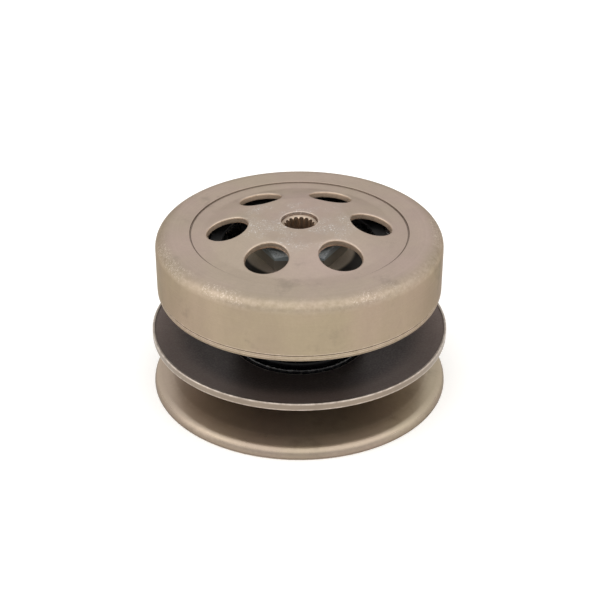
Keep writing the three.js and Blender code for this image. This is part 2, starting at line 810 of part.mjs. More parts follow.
addPiece('movable_face', movableFace(), 'darkSheave');
addPiece('movable_hub', movableHub(), 'steel');
addPiece('o_ring_lower', oRing(LOWER_O_RING), 'rubber');
addPiece('o_ring_upper', oRing(UPPER_O_RING), 'rubber');
addPiece('oil_seal_lower', oilSeal(MOVABLE_BELT_BASE + 0.3), 'rubber');
addPiece('oil_seal_upper', oilSeal(SLEEVE_TOP - 3.1), 'rubber');
addPiece('seal_collar', sealCollar(), 'gloss');
addPiece('contra_spring', contraSpring(), 'gloss');
addPiece('spring_seat', springSeat(), 'gloss');

addPiece('drive_plate', drivePlate(), 'zinc');
addPiece('clutch_nut', clutchNut(), 'zinc');
addPiece('shoe_retainer_plate', retainerPlate(), 'zinc');
for (let i = 0; i < SHOE_COUNT; i += 1) {
  const azimuth = pivotAzimuth(i);
  const number = i + 1;
  addPiece(`shoe_pivot_pin_${number}`, atCircle(pivotPin(), PIVOT_CIRCLE, azimuth), 'steel');
  addPiece(`e_clip_${number}`, atCircle(eClip(), PIVOT_CIRCLE, azimuth), 'gloss');
  addPiece(`damper_stud_${number}`, atCircle(damperStud(), DAMPER_CIRCLE, azimuth + DAMPER_OFFSET), 'steel');
  addPiece(`damper_${number}`, atCircle(damper(), DAMPER_CIRCLE, azimuth + DAMPER_OFFSET), 'rubber');
  addPiece(`clutch_shoe_${number}`, turnedBy(clutchShoe(), azimuth), 'casting');
  addPiece(`shoe_lining_${number}`, turnedBy(shoeLining(), azimuth), 'friction');
  addPiece(`shoe_spring_${number}`, turnedBy(shoeSpring(), azimuth), 'steel');
}

addPiece('clutch_bell', clutchBell(), 'nickel');
addPiece('bell_hub', bellHub(), 'nickel');

export default pulleySet;
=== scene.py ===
import math

import bmesh
import bpy
from mathutils import Matrix, Vector


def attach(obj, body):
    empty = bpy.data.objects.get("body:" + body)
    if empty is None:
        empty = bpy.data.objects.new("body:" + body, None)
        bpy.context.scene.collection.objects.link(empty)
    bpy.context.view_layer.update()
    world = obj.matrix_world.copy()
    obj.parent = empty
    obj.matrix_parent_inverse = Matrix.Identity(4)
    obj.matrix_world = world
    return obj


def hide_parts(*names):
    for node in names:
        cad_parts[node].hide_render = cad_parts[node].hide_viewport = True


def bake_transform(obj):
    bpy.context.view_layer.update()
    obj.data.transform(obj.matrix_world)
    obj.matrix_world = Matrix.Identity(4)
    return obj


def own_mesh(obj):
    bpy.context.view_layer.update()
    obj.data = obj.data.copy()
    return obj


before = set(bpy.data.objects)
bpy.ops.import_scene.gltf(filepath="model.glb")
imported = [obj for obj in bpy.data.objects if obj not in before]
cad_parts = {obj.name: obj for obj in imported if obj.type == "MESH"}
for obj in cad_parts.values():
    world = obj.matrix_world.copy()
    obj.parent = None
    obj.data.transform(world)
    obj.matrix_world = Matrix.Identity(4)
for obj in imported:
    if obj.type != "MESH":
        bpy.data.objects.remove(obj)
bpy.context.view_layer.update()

MM = 0.001
ROUND = 144          # columns round a large turned piece
SMALL_ROUND = 72     # columns round a small turned piece

# Sizes of the set, in millimetres, as the CAD frame has them.
SLOPE = math.tan(math.radians(13))
FIXED_R, MOVABLE_R = 70.47, 70.28
BELL_R, BELL_BASE, SHOULDER_TOP, HUB_TOP = 67.0, 51.08, 79.72, 85.06
SHEET, DRUM_R = 3.2, 62.8
WINDOW_R, WINDOW_CIRCLE, WINDOW_AZIMUTH = 10.03, 33.54, 3.87
CONE_IN, CONE_OUT, STEP_R, RING_TOP = 22.5, 44.4, 50.87, 79.14
CONE_SLOPE = (HUB_TOP - RING_TOP) / (CONE_OUT - CONE_IN)
TEETH, SPLINE_AZIMUTH = 16, 14.4
NEEDLES, BALLS = 10, 7
BALL_CIRCLE, BALL_HEIGHT = 10.75, 58.5
PIVOT_CIRCLE, PIVOT_AZIMUTH = 46.0, WINDOW_AZIMUTH + 30
DAMPER_CIRCLE, DAMPER_OFFSET = 50.8, 60
SHOE_BASE, SHOE_TOP, SHOE_ARC = 55.7, 71.7, (12, 97, 40)     # the arc's start, end and steps
HOOK_OFFSET, HOOK_Z = 92, 68.6
COIL_BASE, COIL_TOP, SLIDE = 21.5, 64.8, 14.0
NUT_BASE, NUT_TOP, NUT_FLATS, NUT_BORE = 69.2, 77.3, 19.5, 14.2
RIM_TOP = 30.45      # upper edge of the movable sheave's rim
LIP_DROP = 0.7       # how far the bell's bottom lip reaches below the CAD wall's end
WALL_SHINE = 2.0     # wear value that marks the punched walls of the windows
WELD = 0.002         # vertices closer than this become one


# ---- mesh helpers ----

def polar(radius, degrees, z=0.0):
    a = math.radians(degrees)
    return Vector((radius * math.cos(a), radius * math.sin(a), z))


def fillet_reach(corners, i, closed):
    """How far along its sides the fillet of corner i would like to start, in millimetres."""
    r, z, fillet = corners[i]
    p = Vector((r, z))
    a = Vector(corners[i - 1][:2]) - p
    b = Vector(corners[(i + 1) % len(corners)][:2]) - p
    at_end = not closed and i in (0, len(corners) - 1)
    if fillet <= 0 or at_end or a.length < 1e-6 or b.length < 1e-6:
        return 0.0
    half = a.angle(b) / 2
    return 0.0 if abs(half - math.pi / 2) < 1e-3 else fillet / math.tan(half)


def support_point(place, neighbour, direction):
    """A point on the straight side beside a fillet, which keeps the shading's curve on the arc."""
    room = min(0.5, (place - neighbour).length * 0.25)
    if room <= 0.05:
        return []
    q = place + direction * room
    return [(q.x, q.y, 0.0)]


def fillet_points(p, before, after, fillet, reach):
    """Points (r, z, wear) of one fillet; small convex ones are rubbed, small concave ones painted shade,
    large ones hardly.
    """
    a, b = before - p, after - p
    convex = 1.0 if (b.x * a.y - b.y * a.x) > 0 else -1.0
    half = a.angle(b) / 2
    radius = reach * math.tan(half)
    to_before, to_after = a.normalized(), b.normalized()
    start, end = p + to_before * reach, p + to_after * reach
    centre = p + (to_before + to_after).normalized() * (radius / math.sin(half))
    steps = 4 if fillet < 1 else 9
    spoke = start - centre
    turn = spoke.angle_signed(end - centre)
    points = support_point(start, before, to_before)
    for k in range(steps + 1):
        v = spoke.copy()
        v.rotate(Matrix.Rotation(-turn * k / steps, 2))
        wear = convex if fillet < 1.5 else convex * 0.4 * math.sin(math.pi * k / steps)
        points.append((centre.x + v.x, centre.y + v.y, wear))
    return points + support_point(end, after, to_after)


def rounded(corners, closed=True):
    """Points (r, z, wear) of an outline of (r, z, fillet) corners, with each fillet as an arc."""
    share_of_side = 0.96
    out = []
    n = len(corners)
    wanted = [fillet_reach(corners, i, closed) for i in range(n)]
    for i, (r, z, fillet) in enumerate(corners):
        if not wanted[i]:
            out.append((r, z, 0.0))
            continue
        p = Vector((r, z))
        before, after = Vector(corners[i - 1][:2]), Vector(corners[(i + 1) % n][:2])
        room = [(side - p).length * share_of_side * wanted[i] / (wanted[i] + wanted[j])
                for side, j in ((before, i - 1), (after, (i + 1) % n))]
        out += fillet_points(p, before, after, fillet, min(wanted[i], *room))
    return out


def make_piece(name, bm, look, sharp):
    """Turns a bmesh in millimetres into a smooth-shaded piece of one material."""
    bmesh.ops.remove_doubles(bm, verts=bm.verts, dist=WELD)
    bmesh.ops.recalc_face_normals(bm, faces=bm.faces)
    bmesh.ops.scale(bm, vec=(MM, MM, MM), verts=bm.verts)
    mesh = bpy.data.meshes.new(name)
    bm.to_mesh(mesh)
    bm.free()
    mesh.shade_smooth()
    mesh.set_sharp_from_angle(angle=math.radians(sharp))
    mesh.materials.append(MATERIALS[look])
    piece = bpy.data.objects.new(name, mesh)
    bpy.context.collection.objects.link(piece)
    return piece


def finish_mesh(name, bm, body, look, node, sharp=32):
    """A piece that rides on a body and takes the place of one CAD node."""
    piece = make_piece(name, bm, look, sharp)
    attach(piece, body)
    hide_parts(node)
    return piece


def loft(bm, rings, closed_rings=True, place=None):
    """Quads between rings of (x, y, z, wear) points, all rings with the same number of points."""
    layer = bm.verts.layers.float.get("wear") or bm.verts.layers.float.new("wear")
    grid = []
    for points in rings:
        row = []
        for x, y, z, wear in points:
            v = bm.verts.new(place @ Vector((x, y, z)) if place else (x, y, z))
            v[layer] = wear
            row.append(v)
        grid.append(row)
    count = len(grid[0])
    ring_pairs = len(grid) if closed_rings else len(grid) - 1
    for i in range(ring_pairs):
        low, high = grid[i], grid[(i + 1) % len(grid)]
        for j in range(count):
            k = (j + 1) % count
            corners = [low[j], low[k], high[k], high[j]]
            if len(set(corners)) == 4:
                bm.faces.new(corners)
    return grid


def circle_ring(r, z, wear, columns, phase=0.0):
    return [(*polar(r, phase + 360 * j / columns)[:2], z, wear) for j in range(columns)]


def lathe(bm, outline, columns=ROUND, place=None, closed=True):
    rings = [circle_ring(r, z, wear, columns, WINDOW_AZIMUTH) for r, z, wear in outline]
    loft(bm, rings, closed_rings=closed, place=place)


def turned_piece(name, corners, body, look, node, columns=ROUND, place=None):
    bm = bmesh.new()
    lathe(bm, rounded(corners), columns, place=place)
    finish_mesh(name, bm, body, look, node)


def cap_both(bm, grid):
    """Closes the first and the last ring of an open loft."""
    bm.faces.new(list(reversed(grid[0])))
    bm.faces.new(grid[-1])


def sweep(bm, path, radius, sides):
    """Round wire along a list of points, its section carried along without twist, ends capped."""
    tangent = (path[1] - path[0]).normalized()
    side = tangent.orthogonal().normalized()
    rings = []
    for i, p in enumerate(path):
        ahead = path[min(i + 1, len(path) - 1)] - path[max(i - 1, 0)]
        t = ahead.normalized()
        side = (side - t * side.dot(t)).normalized()
        up = t.cross(side)
        rings.append([(*(p + side * (radius * math.cos(a)) + up * (radius * math.sin(a))), 0.0)
                      for a in (2 * math.pi * j / sides for j in range(sides))])
    cap_both(bm, loft(bm, rings, closed_rings=False))


def slab(bm, outline, base, top, bevel):
    """Closed plate from a counter-clockwise outline in millimetres, with its rims bevelled inwards."""
    pts = [Vector(p) for p in outline]
    n = len(pts)
    inner = []
    for i in range(n):
        e1 = (pts[i] - pts[i - 1]).normalized()
        e2 = (pts[(i + 1) % n] - pts[i]).normalized()
        n1, n2 = Vector((-e1.y, e1.x)), Vector((-e2.y, e2.x))
        m = (n1 + n2)
        m = m / max(m.dot(n1), 0.35)
        inner.append(pts[i] + m * bevel)
    rings = [[(*p, base, 0.0) for p in inner], [(*p, base + bevel, 1.0) for p in pts],
             [(*p, top - bevel, 1.0) for p in pts], [(*p, top, 1.0) for p in inner]]
    cap_both(bm, loft(bm, rings, closed_rings=False))


def arc_points(cx, cy, r, start, stop, steps):
    return [(cx + r * math.cos(math.radians(start + (stop - start) * i / steps)),
             cy + r * math.sin(math.radians(start + (stop - start) * i / steps))) for i in range(steps + 1)]


def sector(r_in, r_out, start, stop, steps):
    return arc_points(0, 0, r_out, start, stop, steps) + arc_points(0, 0, r_in, stop, start, steps)


def cylinder_bm(radius, base, top, x, y=0.0, columns=48):
    bm = bmesh.new()
    rings = [[(x + p[0], y + p[1], z, 0.0) for p in circle_ring(radius, 0, 0, columns)] for z in (base, top)]
    cap_both(bm, loft(bm, rings, closed_rings=False))
    return bm


def temp_object(bm):
    bmesh.ops.recalc_face_normals(bm, faces=bm.faces)
    mesh = bpy.data.meshes.new("tool")
    bm.to_mesh(mesh)
    bm.free()
    obj = bpy.data.objects.new("tool", mesh)
    bpy.context.collection.objects.link(obj)
    return obj


def carved(base_bm, cutters, unions=()):
    """The base bmesh with other closed meshes joined to it and cut out of it."""
    base = temp_object(base_bm)
    tools = []
    for kind, group in (("UNION", unions), ("DIFFERENCE", cutters)):
        for tool_bm in group:
            tool = temp_object(tool_bm)
            tools.append(tool)
            mod = base.modifiers.new("cut", "BOOLEAN")
            mod.operation, mod.object, mod.solver = kind, tool, "EXACT"
    bpy.context.view_layer.update()
    made = base.evaluated_get(bpy.context.evaluated_depsgraph_get()).to_mesh()
    bm = bmesh.new()
    bm.from_mesh(made)
    for obj in [base, *tools]:
        mesh = obj.data
        bpy.data.objects.remove(obj)
        bpy.data.meshes.remove(mesh)
    return bm


# ---- materials ----

class Nodes:
    """Short names for building one material's node tree."""

    def __init__(self, name):
        self.material = bpy.data.materials.new(name)
        self.material.use_nodes = True
        self.tree = self.material.node_tree
        self.shader = self.tree.nodes["Principled BSDF"]
        coord = self.tree.nodes.new("ShaderNodeTexCoord")
        self.place = coord.outputs["Object"]

    def node(self, kind, inputs=None, **settings):
        made = self.tree.nodes.new(kind)
        for key, value in settings.items():
            setattr(made, key, value)
        for key, value in (inputs or {}).items():
            if isinstance(value, bpy.types.NodeSocket):
                self.tree.links.new(value, made.inputs[key])
            else:
                made.inputs[key].default_value = value
        return made

    def maths(self, operation, a, b=0.0, clamp=False):
        return self.node("ShaderNodeMath", {0: a, 1: b}, operation=operation, use_clamp=clamp).outputs[0]

    def times(self, a, b, clamp=False):
        return self.maths("MULTIPLY", a, b, clamp)

    def plus(self, a, b):
        return self.maths("ADD", a, b)

    def noise(self, scale, detail=4.0, rough=0.55, vector=None):
        made = self.node("ShaderNodeTexNoise", {"Vector": vector or self.place, "Scale": scale,
                                                "Detail": detail, "Roughness": rough})
        return made.outputs["Fac"]

    def remap(self, value, low, high, to_low=0.0, to_high=1.0, smooth=False):
        made = self.node("ShaderNodeMapRange", {"Value": value, "From Min": low, "From Max": high,
                                                "To Min": to_low, "To Max": to_high},
                         interpolation_type="SMOOTHSTEP" if smooth else "LINEAR")
        return made.outputs["Result"]

    def mix(self, factor, a, b, blend="MIX"):
        """Colour a where the factor is 0 and b where it's 1; each is a socket or an rgb."""
        inputs = {0: factor, 6: rgba(a), 7: rgba(b)}
        return self.node("ShaderNodeMix", inputs, data_type="RGBA", blend_type=blend).outputs[2]

    def wear(self):
        """The mesh's own wear value: above 0 on rubbed edges, below 0 in corners painted darker as shade."""
        return self.node("ShaderNodeAttribute", attribute_name="wear").outputs["Fac"]

    def radius(self):
        """Distance from the axis and height, in metres."""
        parts = self.node("ShaderNodeSeparateXYZ", {0: self.place}).outputs
        squares = self.plus(self.times(parts[0], parts[0]), self.times(parts[1], parts[1]))
        return self.maths("SQRT", squares), parts[2]

    def turned_vector(self):
        """Coordinates (radius, 0, height), for rings left by the lathe tool."""
        r, z = self.radius()
        return self.node("ShaderNodeCombineXYZ", {0: r, 1: 0.0, 2: z}).outputs[0]

    def tint(self, base, mask, rgb):
        """Multiplies the base colour by rgb where the mask is 1."""
        return self.mix(mask, base, rgb, "MULTIPLY")

    def bump(self, height, strength, distance, normal=None):
        inputs = {"Height": height, "Strength": strength, "Distance": distance}
        if normal:
            inputs["Normal"] = normal
        return self.node("ShaderNodeBump", inputs).outputs["Normal"]

    def link(self, value, socket):
        self.tree.links.new(value, self.shader.inputs[socket])


def rgba(value):
    return value if isinstance(value, bpy.types.NodeSocket) else (*value, 1.0)


def shade(rgb, factor):
    return [c * factor for c in rgb]


def frosted_bell(n, base, rgb, sparkle, roughness, normal):
    """The bell's frost and pits round the hub, painted glints there and on the shoulder, painted shade on
    dull walls.
    """
    r, z = n.radius()
    inside = n.remap(r, 0.022, 0.031, 1.0, 0.0, smooth=True)
    patch = n.times(inside, n.remap(n.noise(70.0, 3.0), 0.44, 0.62, smooth=True), clamp=True)
    frost = n.times(patch, n.remap(n.noise(1500.0, 3.0, 0.7), 0.42, 0.62, 0.0, 0.4))
    base = n.mix(frost, base, (0.60, 0.565, 0.53))
    # Bright crystal flecks in the frost patch: painted glints.
    crystals = n.node("ShaderNodeTexVoronoi", {"Vector": n.place, "Scale": 2300.0}, feature="F1")
    pick = n.node("ShaderNodeSeparateColor", {0: crystals.outputs["Color"]}).outputs[0]
    frost_glints = n.times(n.remap(pick, 0.9, 0.96, 0.0, sparkle), patch)
    base = n.mix(frost_glints, base, (0.95, 0.94, 0.93))
    # Patches of bright flecks along the shoulder: painted glints.
    shoulder = n.times(n.remap(z, 0.0748, 0.0775), n.remap(r, 0.0605, 0.0625))
    shoulder_glint_patch = n.times(shoulder, n.remap(n.noise(34.0, 4.0, 0.6), 0.49, 0.62, smooth=True))
    glints = n.times(n.remap(pick, 0.78, 0.9, 0.0, 0.42), shoulder_glint_patch)
    base = n.mix(glints, base, (0.9, 0.8, 0.68))
    pits = n.times(n.remap(n.noise(900.0, 3.0, 0.7), 0.6, 0.7, 0.0, 0.35), patch)
    base = n.mix(pits, base, shade(rgb, 0.5))
    roughness = n.plus(roughness, n.times(patch, 0.05))
    normal = n.bump(n.times(n.noise(900.0, 5.0, 0.7), patch), 0.45 * sparkle, 0.0002, normal)
    # The window walls are tinted darker: painted shade; they are also less metallic.
    wall = n.remap(n.wear(), 1.0, WALL_SHINE)
    base = n.tint(base, wall, (0.84, 0.77, 0.69))
    n.link(n.remap(wall, 0.0, 1.0, 1.0, 0.55), "Metallic")
    return base, roughness, normal


def mottled(n, rgb, blotch, cloud, fine):
    """The metal's own colour, with faint blotches, specks, drifts of hue and smudges."""
    base = n.mix(n.remap(cloud, 0.3, 0.7), shade(rgb, 1 - blotch), shade(rgb, 1 + blotch))
    base = n.mix(n.times(n.remap(fine, 0.3, 0.7), 0.35), base, shade(rgb, 1 - 1.6 * blotch))
    hue = n.remap(n.noise(24.0, 3.0, 0.5), 0.38, 0.62)
    base = n.tint(base, hue, (0.99, 1.01, 0.95))
    base = n.tint(base, n.maths("SUBTRACT", 1.0, hue), (1.01, 0.985, 1.0))
    smudge = n.remap(n.noise(52.0, 6.0, 0.65), 0.58, 0.71, smooth=True)
    return n.tint(base, smudge, (0.84, 0.84, 0.85))


def zoned(n, base, zones, streaks):
    """The tints of the zones, and upright streaks on the bell's wall."""
    r, z = n.radius()
    for axis, start, end, rgb_factor in zones:
        place = r if axis == "radius" else z
        base = n.tint(base, n.remap(place, start, end, smooth=True), rgb_factor)
    if streaks:
        upright = n.node("ShaderNodeMapping", {"Vector": n.place, "Scale": (1.0, 1.0, 0.25)}).outputs[0]
        run = n.remap(n.noise(80.0, 6.0, 0.7, upright), 0.42, 0.62)
        on_wall = n.remap(r, 0.062, 0.0665, smooth=True)
        base = n.tint(base, n.times(run, on_wall), [1 - streaks] * 3)
    return base


def rubbed_edges(n, base, rgb, edge_rgb):
    """Bright rubbed edges, partly painted highlight, and corners painted darker as shade: the new colour,
    and how rubbed each place is.
    """
    edge = n.wear()
    broken = n.remap(n.noise(420.0, 4.0, 0.7), 0.35, 0.65, 0.15, 1.0)
    rubbed = n.times(n.maths("MAXIMUM", edge, 0.0), broken, clamp=True)
    # Wear below 0, in corners and grooves, darkens the colour: painted shade.
    corner_shade = n.times(n.maths("MAXIMUM", n.times(edge, -1.0), 0.0), 0.55, clamp=True)
    base = n.mix(n.times(rubbed, 0.6), base, edge_rgb or [min(1, c * 1.18) for c in rgb])
    return n.mix(corner_shade, base, shade(rgb, 0.35)), rubbed


def metal(name, rgb, rough, grain=900.0, grain_depth=0.00006, blotch=0.1, rings=0.0, sparkle=0.0,
          edge_rgb=None, metallic=1.0, scratch=0.5, spread=0.1, zones=(), dents=0.0, streaks=0.0,
          grazing=1.0):
    """Bare or plated metal: fine grain, faint blotches, lathe rings, scratches and rubbed edges.

    Each zone (axis, from, to, rgb) multiplies the colour by rgb, from none to all between two places on
    the axis "radius" or "height", in metres. Grazing below 1 darkens the metal where it's seen edge on.
    """
    n = Nodes(name)
    n.shader.inputs["Metallic"].default_value = metallic
    # Grazing below 1 dims the reflection seen edge on: painted shade on the sides of the pieces.
    n.shader.inputs["Specular Tint"].default_value = rgba(shade((1.0, 0.97, 0.94), grazing))
    fine = n.noise(grain, 2.0, 0.6)
    cloud = n.plus(n.times(n.noise(38.0, 5.0, 0.6), 0.6), n.times(n.noise(190.0, 4.0, 0.6), 0.4))
    base = zoned(n, mottled(n, rgb, blotch, cloud, fine), zones, streaks)
    base, rubbed = rubbed_edges(n, base, rgb, edge_rgb)
    stretched = n.node("ShaderNodeMapping", {"Vector": n.place, "Scale": (1.0, 9.0, 4.0),
                                             "Rotation": (0.3, 0.5, 0.8)}).outputs[0]
    marks = n.times(n.remap(n.noise(260.0, 3.0, 0.75, stretched), 0.66, 0.74), scratch)
    base = n.mix(n.times(marks, 0.3), base, shade(rgb, 1.25))
    roughness = n.plus(n.remap(cloud, 0.3, 0.7, rough - spread * 0.5, rough + spread * 0.5),
                       n.times(n.plus(rubbed, marks), -0.1))
    normal = None
    if rings:
        tool = n.noise(2600.0, 2.0, 0.5, n.turned_vector())
        normal = n.bump(tool, rings, 0.00003)
        roughness = n.plus(roughness, n.remap(tool, 0.3, 0.7, -0.05, 0.05))
    if dents:
        normal = n.bump(n.noise(330.0, 4.0, 0.6), dents, 0.0002, normal)
    if sparkle:
        base, roughness, normal = frosted_bell(n, base, rgb, sparkle, roughness, normal)
    height = n.plus(fine, n.times(marks, -0.5))
    n.link(base, "Base Color")
    n.link(n.maths("MAXIMUM", roughness, 0.06), "Roughness")
    n.link(n.bump(height, 0.6, grain_depth, normal), "Normal")
    return n.material


def coated(name, rgb, rough, grain=500.0, depth=0.00005, coat=0.0, wear_rgb=(0.4, 0.39, 0.37), wear=0.5,
           dusty=0.18, specular=0.5):
    """Paint, phosphate or plastic over its base: slight unevenness, dust and edges rubbed bare."""
    n = Nodes(name)
    n.shader.inputs["Coat Weight"].default_value = coat
    n.shader.inputs["Coat Roughness"].default_value = 0.12
    n.shader.inputs["Specular IOR Level"].default_value = specular
    cloud = n.noise(90.0, 5.0, 0.6)
    fine = n.noise(grain, 3.0, 0.6)
    base = n.mix(n.remap(cloud, 0.3, 0.7), shade(rgb, 0.75), shade(rgb, 1.5))
    dust = n.remap(n.noise(240.0, 6.0, 0.7), 0.56, 0.75, 0.0, dusty)
    base = n.mix(dust, base, (0.2, 0.19, 0.17))
    broken = n.remap(n.noise(520.0, 4.0, 0.7), 0.5, 0.62)
    rubbed = n.times(n.times(n.maths("MAXIMUM", n.wear(), 0.0), broken), wear, clamp=True)
    base = n.mix(rubbed, base, wear_rgb)
    n.link(base, "Base Color")
    roughness = n.remap(cloud, 0.3, 0.7, rough * 0.8, rough * 1.2)
    n.link(n.plus(roughness, n.times(dust, 0.8)), "Roughness")
    n.link(n.bump(fine, 0.5, depth), "Normal")
    return n.material


def lining_material():
    """Pressed friction material: brown mass with brass chips and dark fibres."""
    n = Nodes("friction_lining")
    cells = n.node("ShaderNodeTexVoronoi", {"Vector": n.place, "Scale": 900.0}, feature="F1")
    pick = n.node("ShaderNodeSeparateColor", {0: cells.outputs["Color"]}).outputs
    base = n.mix(n.noise(300.0, 4.0), (0.085, 0.06, 0.043), (0.17, 0.125, 0.09))
    base = n.mix(n.remap(pick[0], 0.88, 0.93, 0.0, 0.8), base, (0.55, 0.38, 0.16))
    base = n.mix(n.remap(pick[1], 0.85, 0.9, 0.0, 0.8), base, (0.02, 0.02, 0.02))
    n.link(base, "Base Color")
    n.link(n.remap(n.noise(400.0), 0.3, 0.7, 0.75, 0.95), "Roughness")
    n.link(n.bump(n.plus(cells.outputs["Distance"], n.noise(700.0)), 0.6, 0.00012), "Normal")
    return n.material


MATERIALS = {
    # Bell: the radius zone darkens the side wall against the top face and grazing darkens it seen edge on:
    # painted shade; edge_rgb also brightens the shoulder's round: partly painted highlight.
    "bell": metal("satin_nickel_bell", (0.528, 0.428, 0.363), 0.46, rings=0.15, sparkle=0.6, blotch=0.08,
                  dents=0.35, scratch=0.2, edge_rgb=(0.80, 0.665, 0.55), streaks=0.05, grazing=0.5,
                  zones=[("radius", 0.0592, 0.0664, (0.694, 0.685, 0.598))]),
    # Fixed sheave: the height zone darkens the rim's lower lip and the radius zone the cone inside the rim,
    # and grazing darkens it seen edge on: painted shade.
    "sheave": metal("satin_nickel_sheave", (0.455, 0.371, 0.288), 0.35, rings=0.08, blotch=0.07,
                    scratch=0.0, grazing=0.6, metallic=0.88,
                    zones=[("height", 0.0042, 0.0026, (0.68, 0.67, 0.68)),
                           ("radius", 0.0660, 0.0590, (0.70, 0.68, 0.67))]),
    # The collar is near black for the shade under the bell: painted shade.
    "collar": coated("black_collar", (0.008, 0.008, 0.009), 0.2, coat=0.5, wear=0.2),
    "steel": metal("machined_steel", (0.56, 0.55, 0.53), 0.32, rings=0.5, blotch=0.08),
    "bearing": metal("bearing_steel", (0.66, 0.66, 0.65), 0.2, grain=1500.0, grain_depth=0.00002,
                     rings=0.2),
    # The height zone darkens the nut below its top and turns it brown: painted shade and painted reflection.
    "zinc": metal("zinc_plate", (0.36, 0.40, 0.42), 0.34, blotch=0.12, edge_rgb=(0.85, 0.88, 0.9),
                  scratch=0.6, metallic=0.4, zones=[("height", 0.0746, 0.0741, (0.62, 0.5, 0.4))]),
    # The radius zone turns the drive plate nearly black beyond its middle: painted shade inside the bell.
    "plate": metal("dark_zinc_plate", (0.36, 0.30, 0.24), 0.5, blotch=0.15, edge_rgb=(0.4, 0.36, 0.3),
                   metallic=0.6, zones=[("radius", 0.0245, 0.0268, (0.03, 0.03, 0.03))]),
    # The shoes are near black: painted shade inside the bell.
    "cast": metal("cast_aluminium", (0.05, 0.05, 0.048), 0.7, grain=420.0, grain_depth=0.00022,
                  blotch=0.2, metallic=0.5, edge_rgb=(0.2, 0.2, 0.19)),
    "wire": metal("spring_wire", (0.42, 0.42, 0.42), 0.34, blotch=0.1),
    "black": coated("black_phosphate", (0.018, 0.018, 0.019), 0.42, wear=0.35),
    # Near black, darker than the black phosphate: painted shade inside the bell.
    "side_plate": coated("dark_side_plate", (0.005, 0.005, 0.005), 0.7, wear=0.08, dusty=0.03),
    "gloss": coated("gloss_black_paint", (0.003, 0.003, 0.0035), 0.3, grain=260.0, depth=0.00004,
                    wear=0.15, dusty=0.03, specular=0.2),
    "plastic": coated("black_nylon", (0.02, 0.02, 0.021), 0.5, wear_rgb=(0.1, 0.1, 0.1)),
    "rubber": coated("black_rubber", (0.016, 0.016, 0.016), 0.72, grain=900.0, depth=0.00008,
                     wear_rgb=(0.06, 0.06, 0.06)),
    "lining": lining_material(),
}


# ---- clutch bell ----

def face_height(r):
    """Height of the bell's top face: flat middle, cone, flat ring, with the two creases rounded."""
    reach = 0.95
    if r <= CONE_IN - reach:
        return HUB_TOP
    if abs(r - CONE_IN) < reach:
        return HUB_TOP - CONE_SLOPE * (r - CONE_IN + reach) ** 2 / (4 * reach)
    if r < CONE_OUT - reach:
        return HUB_TOP - CONE_SLOPE * (r - CONE_IN)
    if r < CONE_OUT + reach:
        return RING_TOP + CONE_SLOPE * (CONE_OUT + reach - r) ** 2 / (4 * reach)
    return RING_TOP


BAND_IN, BAND_OUT = 21.4, 45.6              # radii of the band that the windows are cut in
COLUMNS_PER_WINDOW, SIDE_STEPS = 24, 12     # mesh steps along the band's arcs and across it
FACE_ROUND, BACK_ROUND = 0.95, 0.45         # rounding of a window's rim on both faces
CONE_TILT = math.atan(CONE_SLOPE)
WINDOW_CENTRE = Vector((WINDOW_CIRCLE, 0, HUB_TOP - CONE_SLOPE * (WINDOW_CIRCLE - CONE_IN)))
WINDOW_U = Vector((math.cos(CONE_TILT), 0, -math.sin(CONE_TILT)))
WINDOW_AXIS = Vector((math.sin(CONE_TILT), 0, math.cos(CONE_TILT)))


def window_ring(radius, depth, bearings):
    """Points round the window at azimuth 0, at a distance from its axis and a depth below the face."""
    points = []
    axis_v = WINDOW_AXIS.cross(WINDOW_U)
    for a in bearings:
        p = WINDOW_CENTRE + WINDOW_U * (radius * math.cos(a)) + axis_v * (radius * math.sin(a))
        for _ in range(6):
            r = math.hypot(p.x, p.y)
            p = p + WINDOW_AXIS * ((face_height(r) - p.z) / WINDOW_AXIS.z) * 0.999
        points.append(p - WINDOW_AXIS * depth)
    return points


def sector_border():
    """(radius, azimuth) round the border of one sixth of the band."""
    half = 30.0
    width = BAND_OUT - BAND_IN
    border = [(BAND_OUT, -half + 2 * half * i / COLUMNS_PER_WINDOW) for i in range(COLUMNS_PER_WINDOW)]
    border += [(BAND_OUT - width * i / SIDE_STEPS, half) for i in range(SIDE_STEPS)]
    border += [(BAND_IN, half - 2 * half * i / COLUMNS_PER_WINDOW) for i in range(COLUMNS_PER_WINDOW)]
    return border + [(BAND_IN + width * i / SIDE_STEPS, -half) for i in range(SIDE_STEPS)]


def face_rows(ring, border, drop):
    """Rows of points from a window's ring out to the border, a drop below the bell's top face."""
    steps = 6
    rows = []
    for i in range(steps + 1):
        share = i / steps
        row = []
        for p, (r_end, phi_end) in zip(ring, border):
            r_start, phi_start = math.hypot(p.x, p.y), math.degrees(math.atan2(p.y, p.x))
            r = r_start + (r_end - r_start) * share
            q = polar(r, phi_start + (phi_end - phi_start) * share, face_height(r) - drop)
            row.append((*q, 0.0))
        rows.append(row)
    return rows


